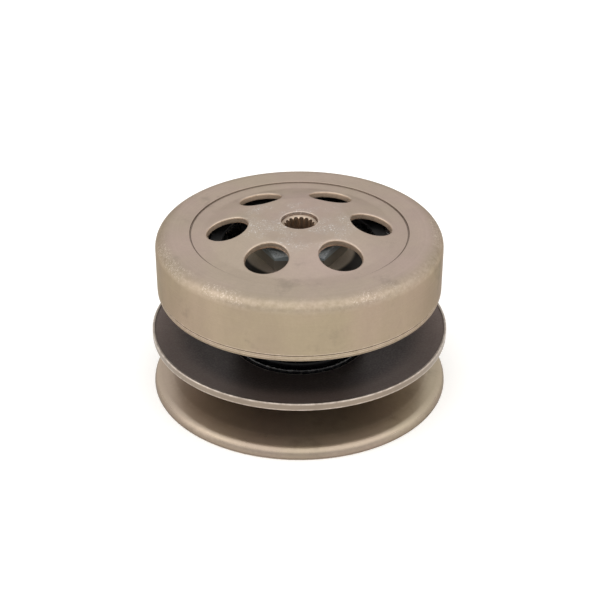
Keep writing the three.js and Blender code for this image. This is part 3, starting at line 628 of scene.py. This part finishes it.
def window_sector(bm, azimuth):
    """One sixth of the cone band, round its window, both faces and the window's rounded rims."""
    border = sector_border()
    bearings = [math.atan2(math.radians(phi) * r, r - WINDOW_CIRCLE) for r, phi in border]
    rows = list(reversed(face_rows(window_ring(WINDOW_R + FACE_ROUND, 0, bearings), border, 0.0)))
    wall_depth = SHEET * math.cos(CONE_TILT)
    for k in range(1, 7):
        a = math.radians(90 * k / 6)
        radius = WINDOW_R + FACE_ROUND * (1 - math.sin(a))
        ring = window_ring(radius, FACE_ROUND * (1 - math.cos(a)), bearings)
        rows.append([(*p, WALL_SHINE if k > 3 else 0.0) for p in ring])
    for share in (0.35, 0.7):
        depth = FACE_ROUND + (wall_depth - FACE_ROUND - BACK_ROUND) * share
        rows.append([(*p, WALL_SHINE) for p in window_ring(WINDOW_R, depth, bearings)])
    for k in range(4):
        a = math.radians(90 * k / 4)
        radius = WINDOW_R + BACK_ROUND * (1 - math.cos(a))
        ring = window_ring(radius, wall_depth - BACK_ROUND * (1 - math.sin(a)), bearings)
        rows.append([(*p, WALL_SHINE) for p in ring])
    rows += face_rows(window_ring(WINDOW_R + BACK_ROUND, 0, bearings), border, SHEET)
    loft(bm, rows, closed_rings=False, place=Matrix.Rotation(math.radians(azimuth), 4, "Z"))


def bell_wear(r, z, wear):
    """Painted shade in the step's groove, none on the flat faces inside it, and the outline's own wear
    outside.
    """
    if STEP_R - 0.65 < r < STEP_R + 0.12 and z > RING_TOP - 1:
        return -1.0
    return 0.0 if r < STEP_R + 1 else wear


def build_bell():
    bm = bmesh.new()
    bm.verts.layers.float.new("wear")
    for k in range(6):
        window_sector(bm, WINDOW_AZIMUTH + 60 * k)
    mouth_r = 8.5
    middle = rounded([
        (BAND_IN, HUB_TOP, 0), (mouth_r, HUB_TOP, 0.35), (mouth_r, HUB_TOP - SHEET, 0.3),
        (BAND_IN, HUB_TOP - SHEET, 0),
    ], closed=False)
    lathe(bm, middle, closed=False)
    lip, ring_back, shoulder_back = BELL_BASE - LIP_DROP, RING_TOP - SHEET, SHOULDER_TOP - SHEET
    bead, groove = BELL_R - 0.06, BELL_R - 0.42
    outside = rounded([
        (BAND_OUT, ring_back, 0), (STEP_R + 1.2, ring_back, 0.5), (STEP_R + 1.9, shoulder_back, 0.5),
        (DRUM_R, shoulder_back, 3.0), (DRUM_R, lip, 0.5), (BELL_R - 0.6, lip, 0.3),
        (BELL_R - 0.12, BELL_BASE + 0.8, 0.3), (bead, BELL_BASE + 1.95, 0.1),
        (groove, BELL_BASE + 2.1, 0.08), (groove, BELL_BASE + 2.35, 0.08),
        (bead, BELL_BASE + 2.5, 0.12), (BELL_R, SHOULDER_TOP - 12, 0),
        (BELL_R, SHOULDER_TOP, 6.1), (STEP_R + 0.15, SHOULDER_TOP, 0.22),
        (STEP_R, RING_TOP - 0.25, 0.08), (STEP_R - 0.4, RING_TOP - 0.25, 0.08),
        (STEP_R - 0.6, RING_TOP, 0.15), (BAND_OUT, RING_TOP, 0),
    ], closed=False)
    lathe(bm, [(r, z, bell_wear(r, z, wear)) for r, z, wear in outside], closed=False)
    finish_mesh("clutch_bell_body", bm, "clutch_output", "bell", "clutch_bell")


def spline_outline():
    """(radius, azimuth, share of the groove's depth) round the splined bore, with round grooves."""
    tip_r, groove_depth, half_width = 6.3, 0.85, 0.47
    points_per_tooth = 16
    pitch = 360 / TEETH
    out = []
    for i in range(TEETH):
        for k in range(points_per_tooth):
            t = k / points_per_tooth - 0.5
            share = math.sqrt(max(0.0, 1 - (t / half_width) ** 2))
            out.append((tip_r + groove_depth * share, SPLINE_AZIMUTH + (i + t) * pitch, share))
    return out


def build_bell_hub():
    spline = spline_outline()
    base, ledge, chamfer_r, slope = 62.35, 83.55, 7.75, 0.9

    def bore_ring(z_of, wear_of):
        return [(*polar(r, a)[:2], z_of(r), wear_of(s)) for r, a, s in spline]

    def round_ring(r, z, wear):
        return [(*polar(r, a)[:2], z, wear) for _, a, _ in spline]

    outer = rounded([
        (chamfer_r, base, 0), (11.5, base, 0.5), (11.5, 79.0, 0.8), (20, 79.0, 0.5), (20, 81.55, 0.4),
        (8.35, 81.55, 0.1), (8.35, ledge, 0.15), (chamfer_r, ledge, 0),
    ], closed=False)
    rings = [round_ring(r, z, w) for r, z, w in outer]
    rings.append(bore_ring(lambda r: ledge - (chamfer_r - r) * slope, lambda s: 1.0))
    # Wear below 0 darkens the grooves between the teeth: painted shade.
    rings.append(bore_ring(lambda r: ledge - (chamfer_r - r) * slope - 0.4, lambda s: -0.7 * s))
    rings.append(bore_ring(lambda r: 64.5, lambda s: -0.7 * s))
    rings.append(bore_ring(lambda r: base + (chamfer_r - r) * slope, lambda s: 0.6))
    bm = bmesh.new()
    loft(bm, rings)
    finish_mesh("bell_hub_splined", bm, "clutch_output", "bell_hub", "bell_hub", sharp=28)


MATERIALS["bell_hub"] = metal("blasted_hub", (0.44, 0.36, 0.29), 0.42, rings=0.3, blotch=0.14, spread=0.14,
                              zones=[("height", 0.0832, 0.0826, (1.7, 1.6, 1.5))])


# ---- sheaves ----

HUB_R, FIXED_BELT, MOVABLE_BELT = 22, 15.4, 15.7     # heights of the belt faces at radius HUB_R
FIXED_SHEET, MOVABLE_SHEET = 3.5, 3.1                # thickness of the cones


def fixed_z(r):
    """Height of the fixed sheave's belt face."""
    return FIXED_BELT - (r - HUB_R) * SLOPE


def movable_z(r):
    """Height of the movable sheave's belt face."""
    return MOVABLE_BELT + (r - HUB_R) * SLOPE


def build_sheaves():
    turned_piece("fixed_sheave_disc", [
        (17.05, 8.5, 0.3), (23.2, 8.5, 0.8), (26.2, fixed_z(26.2) - FIXED_SHEET, 3.0),
        (64.8, fixed_z(64.8) - FIXED_SHEET, 2.0), (67.7, 0.0, 0.35), (FIXED_R, 0.0, 0.3),
        (FIXED_R, fixed_z(FIXED_R) + 0.1, 4.7), (62.0, fixed_z(62.0) + 0.35, 60.0),
        (HUB_R, FIXED_BELT, 1.2), (17.05, FIXED_BELT, 0.3),
    ], "fixed_half", "sheave", "fixed_face")
    rim_in, plate_top = 69.35, 19.6
    turned_piece("movable_sheave_disc", [
        (21.6, MOVABLE_BELT, 0.3), (22.4, MOVABLE_BELT, 0.4), (MOVABLE_R, movable_z(MOVABLE_R), 0.45),
        (MOVABLE_R, RIM_TOP, 0.4), (rim_in, RIM_TOP, 0.3),
        (rim_in - 0.25, movable_z(rim_in) + MOVABLE_SHEET, 0.35),
        (32.3, movable_z(32.3) + MOVABLE_SHEET, 0.5), (31.8, plate_top, 0.3), (21.6, plate_top, 0.2),
    ], "movable_half", "dark_face", "movable_face")


def two_tone_sheave():
    """The movable sheave's steel: bright on the rim and belt side, dark satin on the dished back, with
    painted shade.
    """
    n = Nodes("two_tone_sheave")
    r, z = n.radius()
    middle_of_sheet = 1.6
    back = n.maths("GREATER_THAN", n.maths("SUBTRACT", z, n.times(r, SLOPE)),
                   (MOVABLE_BELT - HUB_R * SLOPE + middle_of_sheet) * MM)
    inside = n.remap(r, 0.0690, 0.0693, 1.0, 0.0)
    dark = n.times(back, inside)
    cloud = n.remap(n.noise(60.0, 5.0, 0.6), 0.3, 0.7)
    fine = n.noise(1000.0, 2.0, 0.6)
    bright = n.mix(cloud, (0.245, 0.2, 0.158), (0.29, 0.236, 0.187))
    deep = n.mix(cloud, (0.136, 0.097, 0.083), (0.156, 0.112, 0.095))
    # Painted shade: the dish darkens towards the middle, under the bell.
    deep = n.tint(deep, n.remap(r, 0.062, 0.05, smooth=True), (0.42, 0.42, 0.44))
    base = n.mix(dark, bright, deep)
    # Edges with wear above 0 turn bright: rubbed edges, and on the rim's top edge a painted highlight.
    broken = n.remap(n.noise(420.0), 0.35, 0.65, 0.3, 1.0)
    edge = n.times(n.maths("MAXIMUM", n.wear(), 0.0), broken, clamp=True)
    base = n.mix(n.times(edge, 0.75), base, (0.74, 0.65, 0.57))
    speck = n.remap(fine, 0.4, 0.7, 0.0, 0.3)
    base = n.mix(speck, base, (0.22, 0.19, 0.17))
    tool = n.noise(2400.0, 2.0, 0.5, n.turned_vector())
    n.link(base, "Base Color")
    rough = n.mix(dark, (0.34, 0.34, 0.34), (0.46, 0.46, 0.46))
    n.link(n.remap(dark, 0.0, 1.0, 1.0, 0.65), "Metallic")
    n.link(n.plus(rough, n.remap(tool, 0.3, 0.7, -0.04, 0.04)), "Roughness")
    n.link(n.bump(fine, 0.6, 0.00006, n.bump(tool, 0.3, 0.00003)), "Normal")
    return n.material


MATERIALS["dark_face"] = two_tone_sheave()


# ---- hub, bearings, spring ----

def build_hub():
    major_r, minor_r, pitch, thread_end = 14.0, 13.45, 1.0, 76.4
    thread = []
    z = 67.4
    while z < thread_end:
        thread += [(major_r, z, 0.05), (minor_r, z + pitch / 2, 0.05)]
        z += pitch
    turned_piece("driven_hub_tube", [
        (14.05, 2.0, 0.5), (17.0, 2.0, 0.6), (17.0, 66.3, 0.4), (14.0, 66.3, 0.3), *thread,
        (14.0, 76.5, 0.3), (13.3, 77.2, 0.2), (12.0, 77.2, 0.3), (12.0, 62.2, 0.1), (14.05, 62.2, 0.1),
        (14.05, 54.7, 0), (14.9, 54.7, 0), (14.9, 53.3, 0), (14.05, 53.3, 0),
    ], "fixed_half", "steel", "hub_tube", columns=96)
    turned_piece("grease_seal", [
        (10.4, 3.7, 0.15), (11.9, 2.9, 0.4), (12.4, 2.45, 0.3), (13.95, 2.45, 0.35), (13.95, 5.1, 0.3),
        (12.3, 5.1, 0.3), (10.8, 4.4, 0.2),
    ], "fixed_half", "rubber", "hub_seal", columns=SMALL_ROUND)


def build_needle_bearing():
    cup_in, cup_out, low, high, needle_circle = 11.95, 13.95, 5.5, 25.5, 11.45
    turned_piece("needle_cup", [
        (cup_in, low, 0.2), (cup_out, low, 0.5), (cup_out, high, 0.5), (cup_in, high, 0.2),
        (cup_in, high - 0.9, 0.2), (12.9, high - 0.9, 0.2), (12.9, low + 0.9, 0.2), (cup_in, low + 0.9, 0.2),
    ], "fixed_half", "bearing", "needle_bearing_shell", columns=SMALL_ROUND)
    bm = bmesh.new()
    for z in (6.7, 22.8):
        cage_ring = [(10.7, z, 0.2), (12.1, z, 0.2), (12.1, z + 1.5, 0.2), (10.7, z + 1.5, 0.2)]
        lathe(bm, rounded(cage_ring), SMALL_ROUND)
    needle = [(0.001, 7.0, 0), (0.8, 7.0, 0.25), (1.15, 7.3, 0), (1.15, 23.7, 0), (0.8, 24.0, 0.25),
              (0.001, 24.0, 0)]
    for i in range(NEEDLES):
        lathe(bm, rounded(needle), 16, place=Matrix.Translation(polar(needle_circle, 360 * i / NEEDLES)))
    finish_mesh("needle_rollers", bm, "needle_set", "bearing", "needle_cage")


def ball_arc(radius, start, stop, step, circle, height=0.0):
    """Points (r, z, 0) on an arc round a ball's centre; a negative radius puts it on the other side."""
    return [(circle + radius * math.cos(math.radians(a)), height + radius * math.sin(math.radians(a)), 0)
            for a in range(start, stop, step)]


def build_ball_bearing():
    race_low, race_high, groove_r, ball_r = 55.0, 62.0, 2.0, 1.88
    groove = ball_arc(groove_r, 52, -53, -8, BALL_CIRCLE, BALL_HEIGHT)
    turned_piece("ball_race_outside", [
        (11.95, race_low, 0.2), (13.95, race_low, 0.4), (13.95, race_high, 0.4), (11.95, race_high, 0.2),
        *groove,
    ], "fixed_half", "bearing", "ball_bearing_outer", columns=SMALL_ROUND)
    groove = ball_arc(-groove_r, 52, -53, -8, BALL_CIRCLE, BALL_HEIGHT)
    turned_piece("ball_race_inside", [
        (7.5, race_low, 0.35), (9.5, race_low, 0.2), *groove, (9.5, race_high, 0.2), (7.5, race_high, 0.35),
    ], "clutch_output", "bearing", "ball_bearing_inner", columns=SMALL_ROUND)
    bm = bmesh.new()
    for i in range(BALLS):
        place = Matrix.Translation(polar(BALL_CIRCLE, 360 * i / BALLS, BALL_HEIGHT))
        lathe(bm, ball_arc(ball_r, -90, 91, 10, 0.001), 24, place=place)
    cage = [(10.25, 57.4, 0.2), (11.25, 57.4, 0.2), (11.25, 59.6, 0.2), (10.25, 59.6, 0.2)]
    lathe(bm, rounded(cage), SMALL_ROUND)
    finish_mesh("balls_and_cage", bm, "ball_set", "bearing", "ball_cage")


def build_spring():
    turned_piece("spring_collar_sleeve", [
        (22.4, 19.9, 0.2), (31.0, 19.9, 0.35), (31.0, 22.3, 0.55), (29.9, 22.3, 0.5), (29.9, 21.3, 0.3),
        (23.4, 21.3, 1.5), (23.4, 47.4, 0.5), (21.75, 47.4, 0.4), (21.75, 22.2, 0.2), (22.4, 21.5, 0.1),
    ], "spring_collar", "collar", "seal_collar")
    wire_r, coil_r, turns, flat, start_azimuth = 2.2, 27.5, 5.0, 0.45, 200
    low, high = COIL_BASE + wire_r, COIL_TOP - wire_r
    steps = 44
    path = []
    for i in range(int(turns * steps) + 1):
        t = i / steps
        share = min(1.0, max(0.0, (t - flat) / (turns - 2 * flat)))
        ease = share + 0.012 * math.sin(2 * math.pi * share)
        path.append(polar(coil_r, start_azimuth + 360 * t, low + (high - low) * ease))
    bm = bmesh.new()
    sweep(bm, path, wire_r, 18)
    spring = finish_mesh("main_spring_coil", bm, "fixed_half", "gloss",
                         "contra_spring", sharp=50)
    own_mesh(spring)
    turned_piece("spring_seat_ring", [
        (24.5, 64.9, 0.3), (31.2, 64.9, 0.3), (31.2, 66.1, 0.4), (22.0, 66.1, 0.3), (22.0, 65.5, 0.2),
    ], "fixed_half", "plastic", "spring_seat", columns=96)


# ---- clutch ----

def pivot_azimuth(index):
    return PIVOT_AZIMUTH + 120 * index


def build_drive_plate():
    bm = bmesh.new()
    lathe(bm, rounded([
        (14.15, 66.5, 0.2), (31.6, 66.5, 1.5), (32.8, 52.6, 1.8), (56.0, 52.6, 0.3), (56.0, 55.4, 0.3),
        (35.6, 55.4, 1.6), (34.2, 67.2, 2.5), (32.4, NUT_BASE, 1.5), (14.15, NUT_BASE, 0.3),
    ]), 96)
    holes = []
    for i in range(3):
        pivot = pivot_azimuth(i)
        for radius, circle, azimuth in ((4.1, PIVOT_CIRCLE, pivot),
                                        (2.1, DAMPER_CIRCLE, pivot + DAMPER_OFFSET),
                                        (5.0, 46.5, pivot + 30)):
            spot = polar(circle, azimuth)
            holes.append(cylinder_bm(radius, 50, 60, spot.x, spot.y))
    finish_mesh("clutch_drive_plate", carved(bm, holes), "fixed_half", "plate", "drive_plate")


def side_plate_radius(azimuth):
    """Outer edge of the side plate: a ring with a round lobe and two flanks at each pivot."""
    ring_r, lobe_r = 42.0, 7.0
    off = min(abs((azimuth - pivot_azimuth(k) + 180) % 360 - 180) for k in range(3))
    along = math.radians(off) * PIVOT_CIRCLE
    lobe = PIVOT_CIRCLE + math.sqrt(max(0.0, lobe_r ** 2 - along * along)) if along < lobe_r else 0.0
    flank = ring_r + 3.2 * math.exp(-((along - 7.5) / 2.6) ** 2) if along > 6.2 else 0.0
    return max(ring_r, lobe, flank)


def build_side_plate():
    base, top, inner_r, bevel, columns = 72.0, 73.6, 36.4, 0.25, 240
    outside = ((base, 0.0), (base + bevel, 1.0), (top - bevel, 1.0), (top, 0.5))
    inside = ((top, 0.0), (top - bevel, 1.0), (base + bevel, 1.0), (base, 0.0))
    azimuths = [360 * j / columns for j in range(columns)]
    rings = []
    for z, wear in outside:
        inset = bevel if z in (base, top) else 0.0
        rings.append([(*polar(side_plate_radius(a) - inset, a)[:2], z, wear) for a in azimuths])
    for z, wear in inside:
        rings.append(circle_ring(inner_r + (bevel if z in (base, top) else 0.0), z, wear, columns))
    bm = bmesh.new()
    loft(bm, rings)
    holes = []
    for i in range(3):
        spot = polar(PIVOT_CIRCLE, pivot_azimuth(i))
        holes.append(cylinder_bm(4.15, 70, 76, spot.x, spot.y))
    finish_mesh("shoe_side_plate", carved(bm, holes), "fixed_half", "side_plate",
                "shoe_retainer_plate")


def build_nut():
    """A hexagon nut whose corners are cut by a shallow cone."""
    columns = 144
    outline = []
    for j in range(columns):
        azimuth = 360 * j / columns
        from_flat = math.radians(azimuth % 60 - 30)
        outline.append((NUT_FLATS / math.cos(from_flat), azimuth))

    def cone_ring(top, wear):
        return [(*polar(r, a)[:2], top - max(0.0, r - NUT_FLATS) * 0.53, wear) for r, a in outline]

    rings = [[(*polar(r, a)[:2], NUT_BASE, 0.0) for r, a in outline],
             cone_ring(NUT_TOP - 0.6, 0.0), cone_ring(NUT_TOP - 0.2, 0.8)]
    for r, z, wear in ((NUT_FLATS - 0.2, NUT_TOP - 0.1, 1.0), (NUT_FLATS - 0.6, NUT_TOP, 1.0),
                       (NUT_FLATS - 1.2, NUT_TOP, 0.0), (NUT_BORE + 1.2, NUT_TOP, 0.0),
                       (NUT_BORE, NUT_TOP - 0.9, 1.0), (NUT_BORE, NUT_BASE + 1.2, 0.0),
                       (NUT_BORE + 1.2, NUT_BASE, 0.0)):
        rings.append(circle_ring(r, z, wear, columns))
    bm = bmesh.new()
    loft(bm, rings)
    finish_mesh("clutch_hex_nut", bm, "fixed_half", "zinc", "clutch_nut", sharp=22)


def at_pivot(index, circle=PIVOT_CIRCLE, offset=0.0):
    azimuth = pivot_azimuth(index) + offset
    return Matrix.Translation(polar(circle, azimuth)) @ Matrix.Rotation(math.radians(azimuth), 4, "Z")


def shoe_bmesh():
    """A cast shoe with its pivot eye at azimuth 0."""
    block = bmesh.new()
    slab(block, sector(43.2, 58.5, *SHOE_ARC), SHOE_BASE, SHOE_TOP, 0.5)
    eye_top = 64.8
    neck = bmesh.new()
    slab(neck, sector(42.0, 53.0, -1, 20, 8), SHOE_BASE, eye_top, 0.3)
    eye = cylinder_bm(7.2, SHOE_BASE, eye_top, PIVOT_CIRCLE)
    hole = polar(DAMPER_CIRCLE, DAMPER_OFFSET)
    hook = polar(PIVOT_CIRCLE, HOOK_OFFSET)
    pocket = bmesh.new()
    slab(pocket, sector(47, 55, 22, 44, 8), 65, 80, 0.1)
    notch = bmesh.new()
    slab(notch, [(-3.6, -1.6), (1.8, -1.6), (1.8, 8), (-3.6, 8)], 66.6, 80, 0.05)
    bmesh.ops.transform(notch, matrix=Matrix.Rotation(math.radians(HOOK_OFFSET), 4, "Z")
                        @ Matrix.Translation((PIVOT_CIRCLE, 0, 0)), verts=notch.verts)
    cuts = [cylinder_bm(4.12, 50, 80, PIVOT_CIRCLE), cylinder_bm(6.2, 50, 80, hole.x, hole.y), pocket, notch,
            cylinder_bm(1.5, 60, 80, hook.x, hook.y, 24)]
    return carved(block, cuts, [neck, eye])


def shoe_spring_path():
    """Centre line of the return spring of the shoe at azimuth 0, from the next pin to this shoe's tail."""
    pin, tail = polar(PIVOT_CIRCLE, 120, HOOK_Z), polar(PIVOT_CIRCLE, HOOK_OFFSET, HOOK_Z)
    along = tail - pin
    length = along.length
    along.normalize()
    across, up = Vector((-along.y, along.x, 0)), Vector((0, 0, 1))
    loop_r, coil_r, turns, bend_r = 5.0, 2.25, 6, 1.1

    def at(distance, side, rise):
        return pin + along * distance + across * side + up * rise

    points = []
    for i in range(25):
        a = math.radians(40 + 270 * i / 24)
        points.append(at(loop_r * math.cos(a), loop_r * math.sin(a), -0.55 * (1 - i / 24)))
    for i in range(1, 6):
        s = i / 6
        points.append(at(3.2 + (7.2 - 3.2) * s, -3.8 + 1.6 * s, 0.0))
    for i in range(turns * 16 + 1):
        a = i * math.pi / 8 - math.pi / 2
        points.append(at(7.4 + 7.8 * i / (turns * 16), coil_r * math.sin(a), coil_r * math.cos(a)))
    for i in range(1, 6):
        s = i / 6
        points.append(at(15.3 + (length - 16.2) * s, -2.2 * (1 - s), 0.2 * (1 - s)))
    for i in range(7):
        a = math.radians(90 * i / 6)
        points.append(at(length - bend_r + bend_r * math.sin(a), 0, -bend_r * (1 - math.cos(a))))
    points.append(at(length, 0, -5))
    return points


def build_shoe(i):
    number = i + 1
    shoe_body = f"shoe_{number}"
    turn = Matrix.Rotation(math.radians(pivot_azimuth(i)), 4, "Z")
    bm = shoe_bmesh()
    bmesh.ops.transform(bm, matrix=turn, verts=bm.verts)
    finish_mesh(f"shoe_casting_{number}", bm, shoe_body, "cast", f"clutch_shoe_{number}")
    bm = bmesh.new()
    slab(bm, sector(58.55, 61.35, *SHOE_ARC), SHOE_BASE + 0.2, SHOE_TOP - 0.2, 0.5)
    bmesh.ops.transform(bm, matrix=turn, verts=bm.verts)
    finish_mesh(f"shoe_friction_{number}", bm, shoe_body, "lining",
                f"shoe_lining_{number}")
    bm = bmesh.new()
    sweep(bm, [turn @ p for p in shoe_spring_path()], 0.7, 10)
    spring = make_piece(f"return_spring_{number}", bm, "wire", sharp=50)
    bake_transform(spring)
    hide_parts(f"shoe_spring_{number}")


def build_pin_and_damper(i):
    number = i + 1
    axis_r = 0.01
    turned_piece(f"pivot_pin_{number}", [
        (axis_r, 51.4, 0), (4.9, 51.4, 0.5), (5.4, 52.3, 0.2), (4.0, 52.3, 0), (4.0, 73.7, 0.1),
        (3.2, 73.7, 0.1), (3.2, 74.6, 0.1), (4.0, 74.6, 0.1), (4.0, 75.1, 0.4), (axis_r, 75.1, 0),
    ], "fixed_half", "steel", f"shoe_pivot_pin_{number}", columns=40,
        place=at_pivot(i))
    bm = bmesh.new()
    clip = arc_points(0, 0, 6.0, 40, 320, 28) + arc_points(0, 0, 3.3, 320, 40, 28)
    slab(bm, clip, 73.75, 74.55, 0.12)
    bmesh.ops.transform(bm, matrix=at_pivot(i) @ Matrix.Rotation(math.pi, 4, "Z"), verts=bm.verts)
    finish_mesh(f"pin_clip_{number}", bm, "fixed_half", "black", f"e_clip_{number}")
    spot = at_pivot(i, DAMPER_CIRCLE, DAMPER_OFFSET)
    turned_piece(f"damper_post_{number}", [
        (axis_r, 51.6, 0), (2.8, 51.6, 0.4), (3.2, 52.3, 0.2), (2.0, 52.3, 0), (2.0, 65.0, 0.5),
        (axis_r, 65.0, 0),
    ], "fixed_half", "steel", f"damper_stud_{number}", columns=32, place=spot)
    turned_piece(f"damper_rubber_{number}", [
        (2.1, 55.8, 0.2), (4.2, 55.8, 0.6), (4.2, 63.6, 0.8), (2.1, 63.6, 0.3),
    ], "fixed_half", "rubber", f"damper_{number}", columns=40, place=spot)


# ---- CAD nodes that stay ----

def dress_cad_nodes():
    kept = {"movable_hub": "steel", "o_ring_lower": "rubber", "o_ring_upper": "rubber",
            "oil_seal_lower": "rubber", "oil_seal_upper": "rubber", "bearing_circlip": "black"}
    for i in (1, 2, 3):
        kept[f"guide_pin_{i}"] = "steel"
        kept[f"guide_roller_{i}"] = "bearing"
    for node, look in kept.items():
        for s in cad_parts[node].material_slots:
            s.material = MATERIALS[look]


# ---- stage ----

def build_floor():
    size = 6.0
    just_below = 0.0002
    mesh = bpy.data.meshes.new("floor")
    bm = bmesh.new()
    bm.faces.new([bm.verts.new((x * size, y * size, 0)) for x, y in ((-1, -1), (1, -1), (1, 1), (-1, 1))])
    bm.to_mesh(mesh)
    bm.free()
    floor = bpy.data.objects.new("floor", mesh)
    bpy.context.collection.objects.link(floor)
    floor.location.z = -just_below
    paper = Nodes("floor_paper")
    tone = paper.mix(paper.noise(4.0), (0.985, 0.97, 0.945), (0.995, 0.98, 0.955))
    paper.link(tone, "Base Color")
    for socket, value in (("Roughness", 0.9), ("Specular IOR Level", 0.1),
                          ("Emission Color", rgba((1.0, 1.0, 1.0))), ("Emission Strength", 0.2)):
        paper.shader.inputs[socket].default_value = value
    mesh.materials.append(paper.material)


def build_light():
    world = bpy.data.worlds.new("studio")
    world.use_nodes = True
    background = world.node_tree.nodes["Background"]
    background.inputs["Color"].default_value = (1.0, 1.0, 1.0, 1)
    background.inputs["Strength"].default_value = 0.9
    bpy.context.scene.world = world
    target = Vector((0, 0, 0.05))
    for name, place, width, height, watts in (("key_softbox", (0.0, -0.5, 0.86), 2.4, 1.1, 4.6),
                                              ("left_softbox", (-0.95, -0.2, 0.42), 0.6, 0.9, 1.45),
                                              ("right_softbox", (0.95, -0.2, 0.42), 0.6, 0.9, 0.8)):
        light = bpy.data.lights.new(name, "AREA")
        light.shape, light.size, light.size_y, light.energy = "RECTANGLE", width, height, watts
        light.color = (1.0, 0.99, 0.97)
        lamp = bpy.data.objects.new(name, light)
        lamp.location = place
        lamp.rotation_euler = (target - Vector(place)).to_track_quat("-Z", "Y").to_euler()
        bpy.context.collection.objects.link(lamp)


def build_camera():
    """The camera looks down at the set from the front, at the photograph's angle."""
    elevation, distance = math.radians(30.75), 0.7237
    target = Vector((0.00026, 0.0, 0.04208))
    lens = bpy.data.cameras.new("camera")
    lens.sensor_width = 36.0
    lens.lens = 91.164
    lens.clip_start = 0.01
    camera = bpy.data.objects.new("camera", lens)
    bpy.context.collection.objects.link(camera)
    camera.location = target + Vector((0, -math.cos(elevation), math.sin(elevation))) * distance
    camera.rotation_euler = (math.radians(90) - elevation, 0, 0)
    bpy.context.scene.camera = camera


bpy.context.scene.view_settings.view_transform = "Standard"
build_floor()
build_light()
build_camera()
build_bell()
build_bell_hub()
build_sheaves()
build_hub()
build_needle_bearing()
build_ball_bearing()
build_spring()
build_drive_plate()
build_side_plate()
build_nut()
for shoe_index in range(3):
    build_shoe(shoe_index)
    build_pin_and_damper(shoe_index)
dress_cad_nodes()
